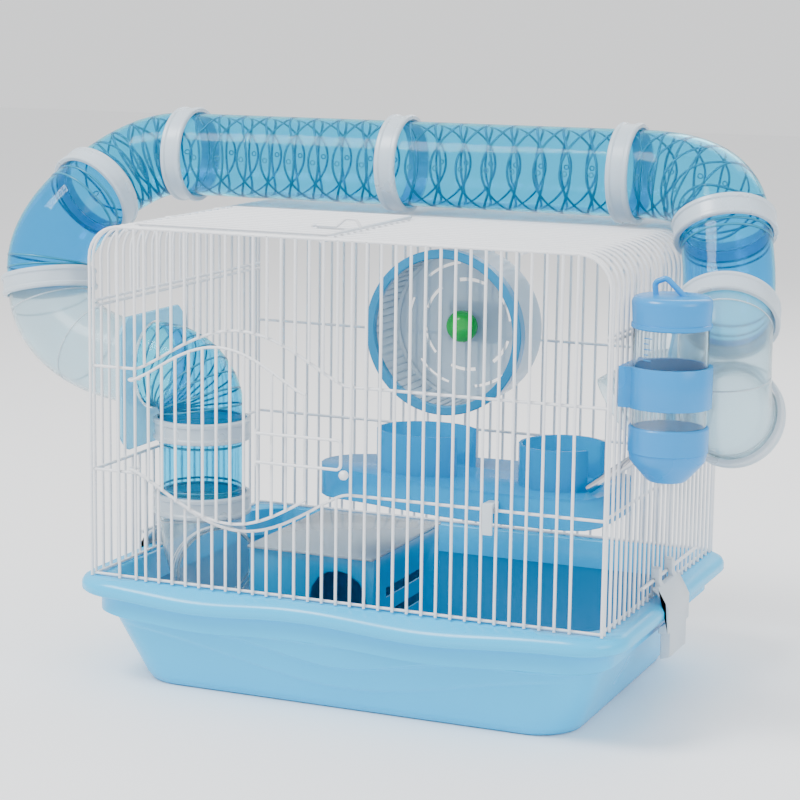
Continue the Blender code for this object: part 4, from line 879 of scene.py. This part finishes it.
ridges = run_tree("wheel_ridges", ridge_tree(), [(0, 0, 0)], [], ridges=64, track_radius=drum_r - 0.0023,
                  ridge_length=WHEEL_DEPTH - 0.012, ridge_width=0.0011, finish=pale_drum)
ridges.data.transform(Matrix.Translation(WHEEL_AT + Vector((0, (wheel_front + wheel_back) / 2, 0))))
fit(ridges, "wheel", "milky")
rim_outline = [
    (WHEEL_R - 0.006, wheel_front + 0.0006), (WHEEL_R - 0.0054, wheel_front),
    (WHEEL_R - 0.0006, wheel_front), (WHEEL_R, wheel_front + 0.0006),
    (WHEEL_R, wheel_front + 0.0084), (WHEEL_R - 0.0006, wheel_front + 0.009), (WHEEL_R - 0.0017, wheel_front + 0.009),
    (WHEEL_R - 0.0017, wheel_front + 0.005), (WHEEL_R - 0.006, wheel_front + 0.005),
]
fit(lathe("wheel_blue_band", rim_outline, WHEEL_AT, (0, 1, 0), deep_blue, 96), "wheel", "deep", "wheel_front_rim")
green_cap = finish("green cap plastic", (0.0, 0.50, 0.07), (0.0, 0.44, 0.06), (0.12, 0.22), 40, 500, 0.05)
pin_end = wheel_back - 0.012
cap_outline = [(0.0033, pin_end + 0.0035), (0.0099, pin_end + 0.0035), (0.0109, pin_end + 0.002)]
cap_outline += [(0.011 * math.cos(a), pin_end - 0.009 * math.sin(a)) for a in np.radians(np.linspace(0, 90, 10))]
cap_outline += [(0, pin_end - GAP), (0.0033, pin_end - GAP)]
fit(lathe("wheel_green_cap", cap_outline, WHEEL_AT, (0, 1, 0), green_cap, 40), "cage", "green", "wheel_hub_cap")
fit(softened("wheel_pin_bracket", "wheel_axle_bracket", frosted, 0.0005), "cage", "milky", "wheel_axle_bracket")


# The platform: a deck of clear blue plastic with a skirt, hung inside the front wires.
# Two raised rings wall in a dish and a landing for the tunnel.
platform_blue = finish(
    "clear blue platform", (0.0, 0.38, 0.74), (0.0, 0.35, 0.71), (0.16, 0.28), 16, 400, 0.05, clear=0.45, ior=1.2,
)
fit(softened("platform_deck", "platform", platform_blue), "cage", "clear_blue", "platform")


# The hideout: a small box house of deep blue plastic that stands on the tray floor.
# It has an arched doorway, two slots in one wall, and a smoky clear lid that lifts off.
house_blue = finish("hideout plastic", (0.0, 0.30, 0.56), (0.0, 0.27, 0.53), (0.18, 0.30), 20, 420, 0.05)
smoky = finish(
    "smoky clear lid", (0.60, 0.72, 0.80), (0.54, 0.67, 0.76), (0.10, 0.2), 16, 300, 0.05, clear=0.6, ior=1.2,
)
fit(softened("hideout_walls", "hideout_body", house_blue), "cage", "deep", "hideout_body")
fit(softened("hideout_lid", "hideout_roof", smoky), "cage", "clear", "hideout_roof")


# The bottle: a clear cylinder with a carrying loop on its cap, and a screw cap that holds a steel spout.
# A blue strap hooks it to the outside of the right-hand wires.
BOTTLE_R, BOTTLE_Z, BOTTLE_L = 0.022, 0.1948, 0.0567
bottle_at = Vector((CAGE_HALF_W + WIRE / 2 + 0.0045 + BOTTLE_R, -0.0905, 0))
bottle_top = BOTTLE_Z + BOTTLE_L
azure = finish("azure cap plastic", (0.0, 0.26, 0.64), (0.0, 0.235, 0.61), (0.20, 0.32), 25, 420, 0.05)
bottle_clear = finish(
    "clear bottle", (0.88, 0.95, 0.985), (0.84, 0.93, 0.97), (0.02, 0.06), 12, 200, 0.04, clear=0.98, ior=1.2,
)
up = (0, 0, 1)
body_outline = [
    (BOTTLE_R - 0.0015, BOTTLE_Z), (BOTTLE_R - 0.0003, BOTTLE_Z), (BOTTLE_R, BOTTLE_Z + 0.001),
    (BOTTLE_R, bottle_top - 0.001), (BOTTLE_R - 0.0003, bottle_top), (BOTTLE_R - 0.0015, bottle_top),
]
fit(lathe("bottle_barrel", body_outline, bottle_at, up, bottle_clear, 64), "cage", "clear", "bottle_body")
mark_r, mark_start = BOTTLE_R + 0.0001, -118
marks = [
    [bottle_at + Vector((mark_r * math.cos(a), mark_r * math.sin(a), z))
     for a in np.radians(np.linspace(mark_start, mark_start + span, 5))]
    for z, span in zip(np.linspace(BOTTLE_Z + 0.040, bottle_top - 0.004, 5), (14, 8, 14, 8, 14))
]
fit(fine_wires("bottle_marks", marks, azure, 0.0006, 6), "cage", "deep")
cap_r, cap_top = BOTTLE_R + 0.0015, bottle_top + 0.019
round_r = 0.004
top_outline = [
    (0, bottle_top + GAP), (cap_r - 0.0006, bottle_top + GAP), (cap_r, bottle_top + GAP + 0.0006),
    (cap_r, bottle_top + 0.0030), (cap_r - 0.0007, bottle_top + 0.0034), (cap_r - 0.0007, bottle_top + 0.0040),
]
top_outline += [
    (cap_r - round_r + round_r * math.cos(a), cap_top - round_r + round_r * math.sin(a))
    for a in np.radians(np.linspace(0, 90, 7))
]
top_outline.append((0, cap_top))
fit(lathe("bottle_cap", top_outline, bottle_at, up, azure, 64), "cage", "deep", "bottle_top_cap")
bail_bends = ((-0.010, 0), (-0.011, 0.008), (-0.004, 0.011), (0.008, 0))
bail = [bottle_at + Vector((dx, 0, cap_top - 0.001 + dz)) for dx, dz in bail_bends]
fit(wires("bottle_loop", [bail], azure, 0.0034, 0.003, 5, 14), "cage", "deep")
low = BOTTLE_Z - 0.033
cup_outline = [
    (0, low), (BOTTLE_R - 0.011, low), (BOTTLE_R - 0.0095, low + 0.0012), (cap_r - 0.0035, low + 0.0095),
    (cap_r - 0.0012, low + 0.0125), (cap_r - 0.0007, low + 0.0165), (cap_r - 0.0007, low + 0.0172),
    (cap_r, low + 0.0176), (cap_r, BOTTLE_Z - 0.0012), (cap_r - 0.0008, BOTTLE_Z - GAP), (0, BOTTLE_Z - GAP),
]
fit(lathe("bottle_foot", cup_outline, bottle_at, up, azure, 64), "cage", "deep", "bottle_screw_cap")
steel = finish("bare steel", (0.62, 0.62, 0.64), (0.55, 0.55, 0.57), (0.12, 0.22), 60, 900, 0.05, metal=1.0)
spout_way = Vector((-0.8, 0, -0.6))
spout_root = bottle_at + Vector((-0.008, 0, BOTTLE_Z - 0.013))
bore_r, pipe_r, ball_r = 0.0022, 0.0030, 0.0020
spout_outline = [(bore_r, 0.002), (pipe_r, 0.002), (pipe_r, 0.0485), (pipe_r - 0.0003, 0.0498), (bore_r, 0.050)]
fit(lathe("bottle_pipe", spout_outline, spout_root, spout_way, steel, 28), "cage", "steel", "bottle_spout")
ball_outline = [(ball_r * math.cos(a), ball_r * math.sin(a)) for a in np.radians(np.linspace(-90, 90, 13))]
ball_at = spout_root + spout_way * 0.048
fit(lathe("bottle_bead", ball_outline, ball_at, spout_way, steel, 24), "cage", "steel", "bottle_ball")
fit(softened("bottle_strap", "bottle_holder", azure), "cage", "deep", "bottle_holder")
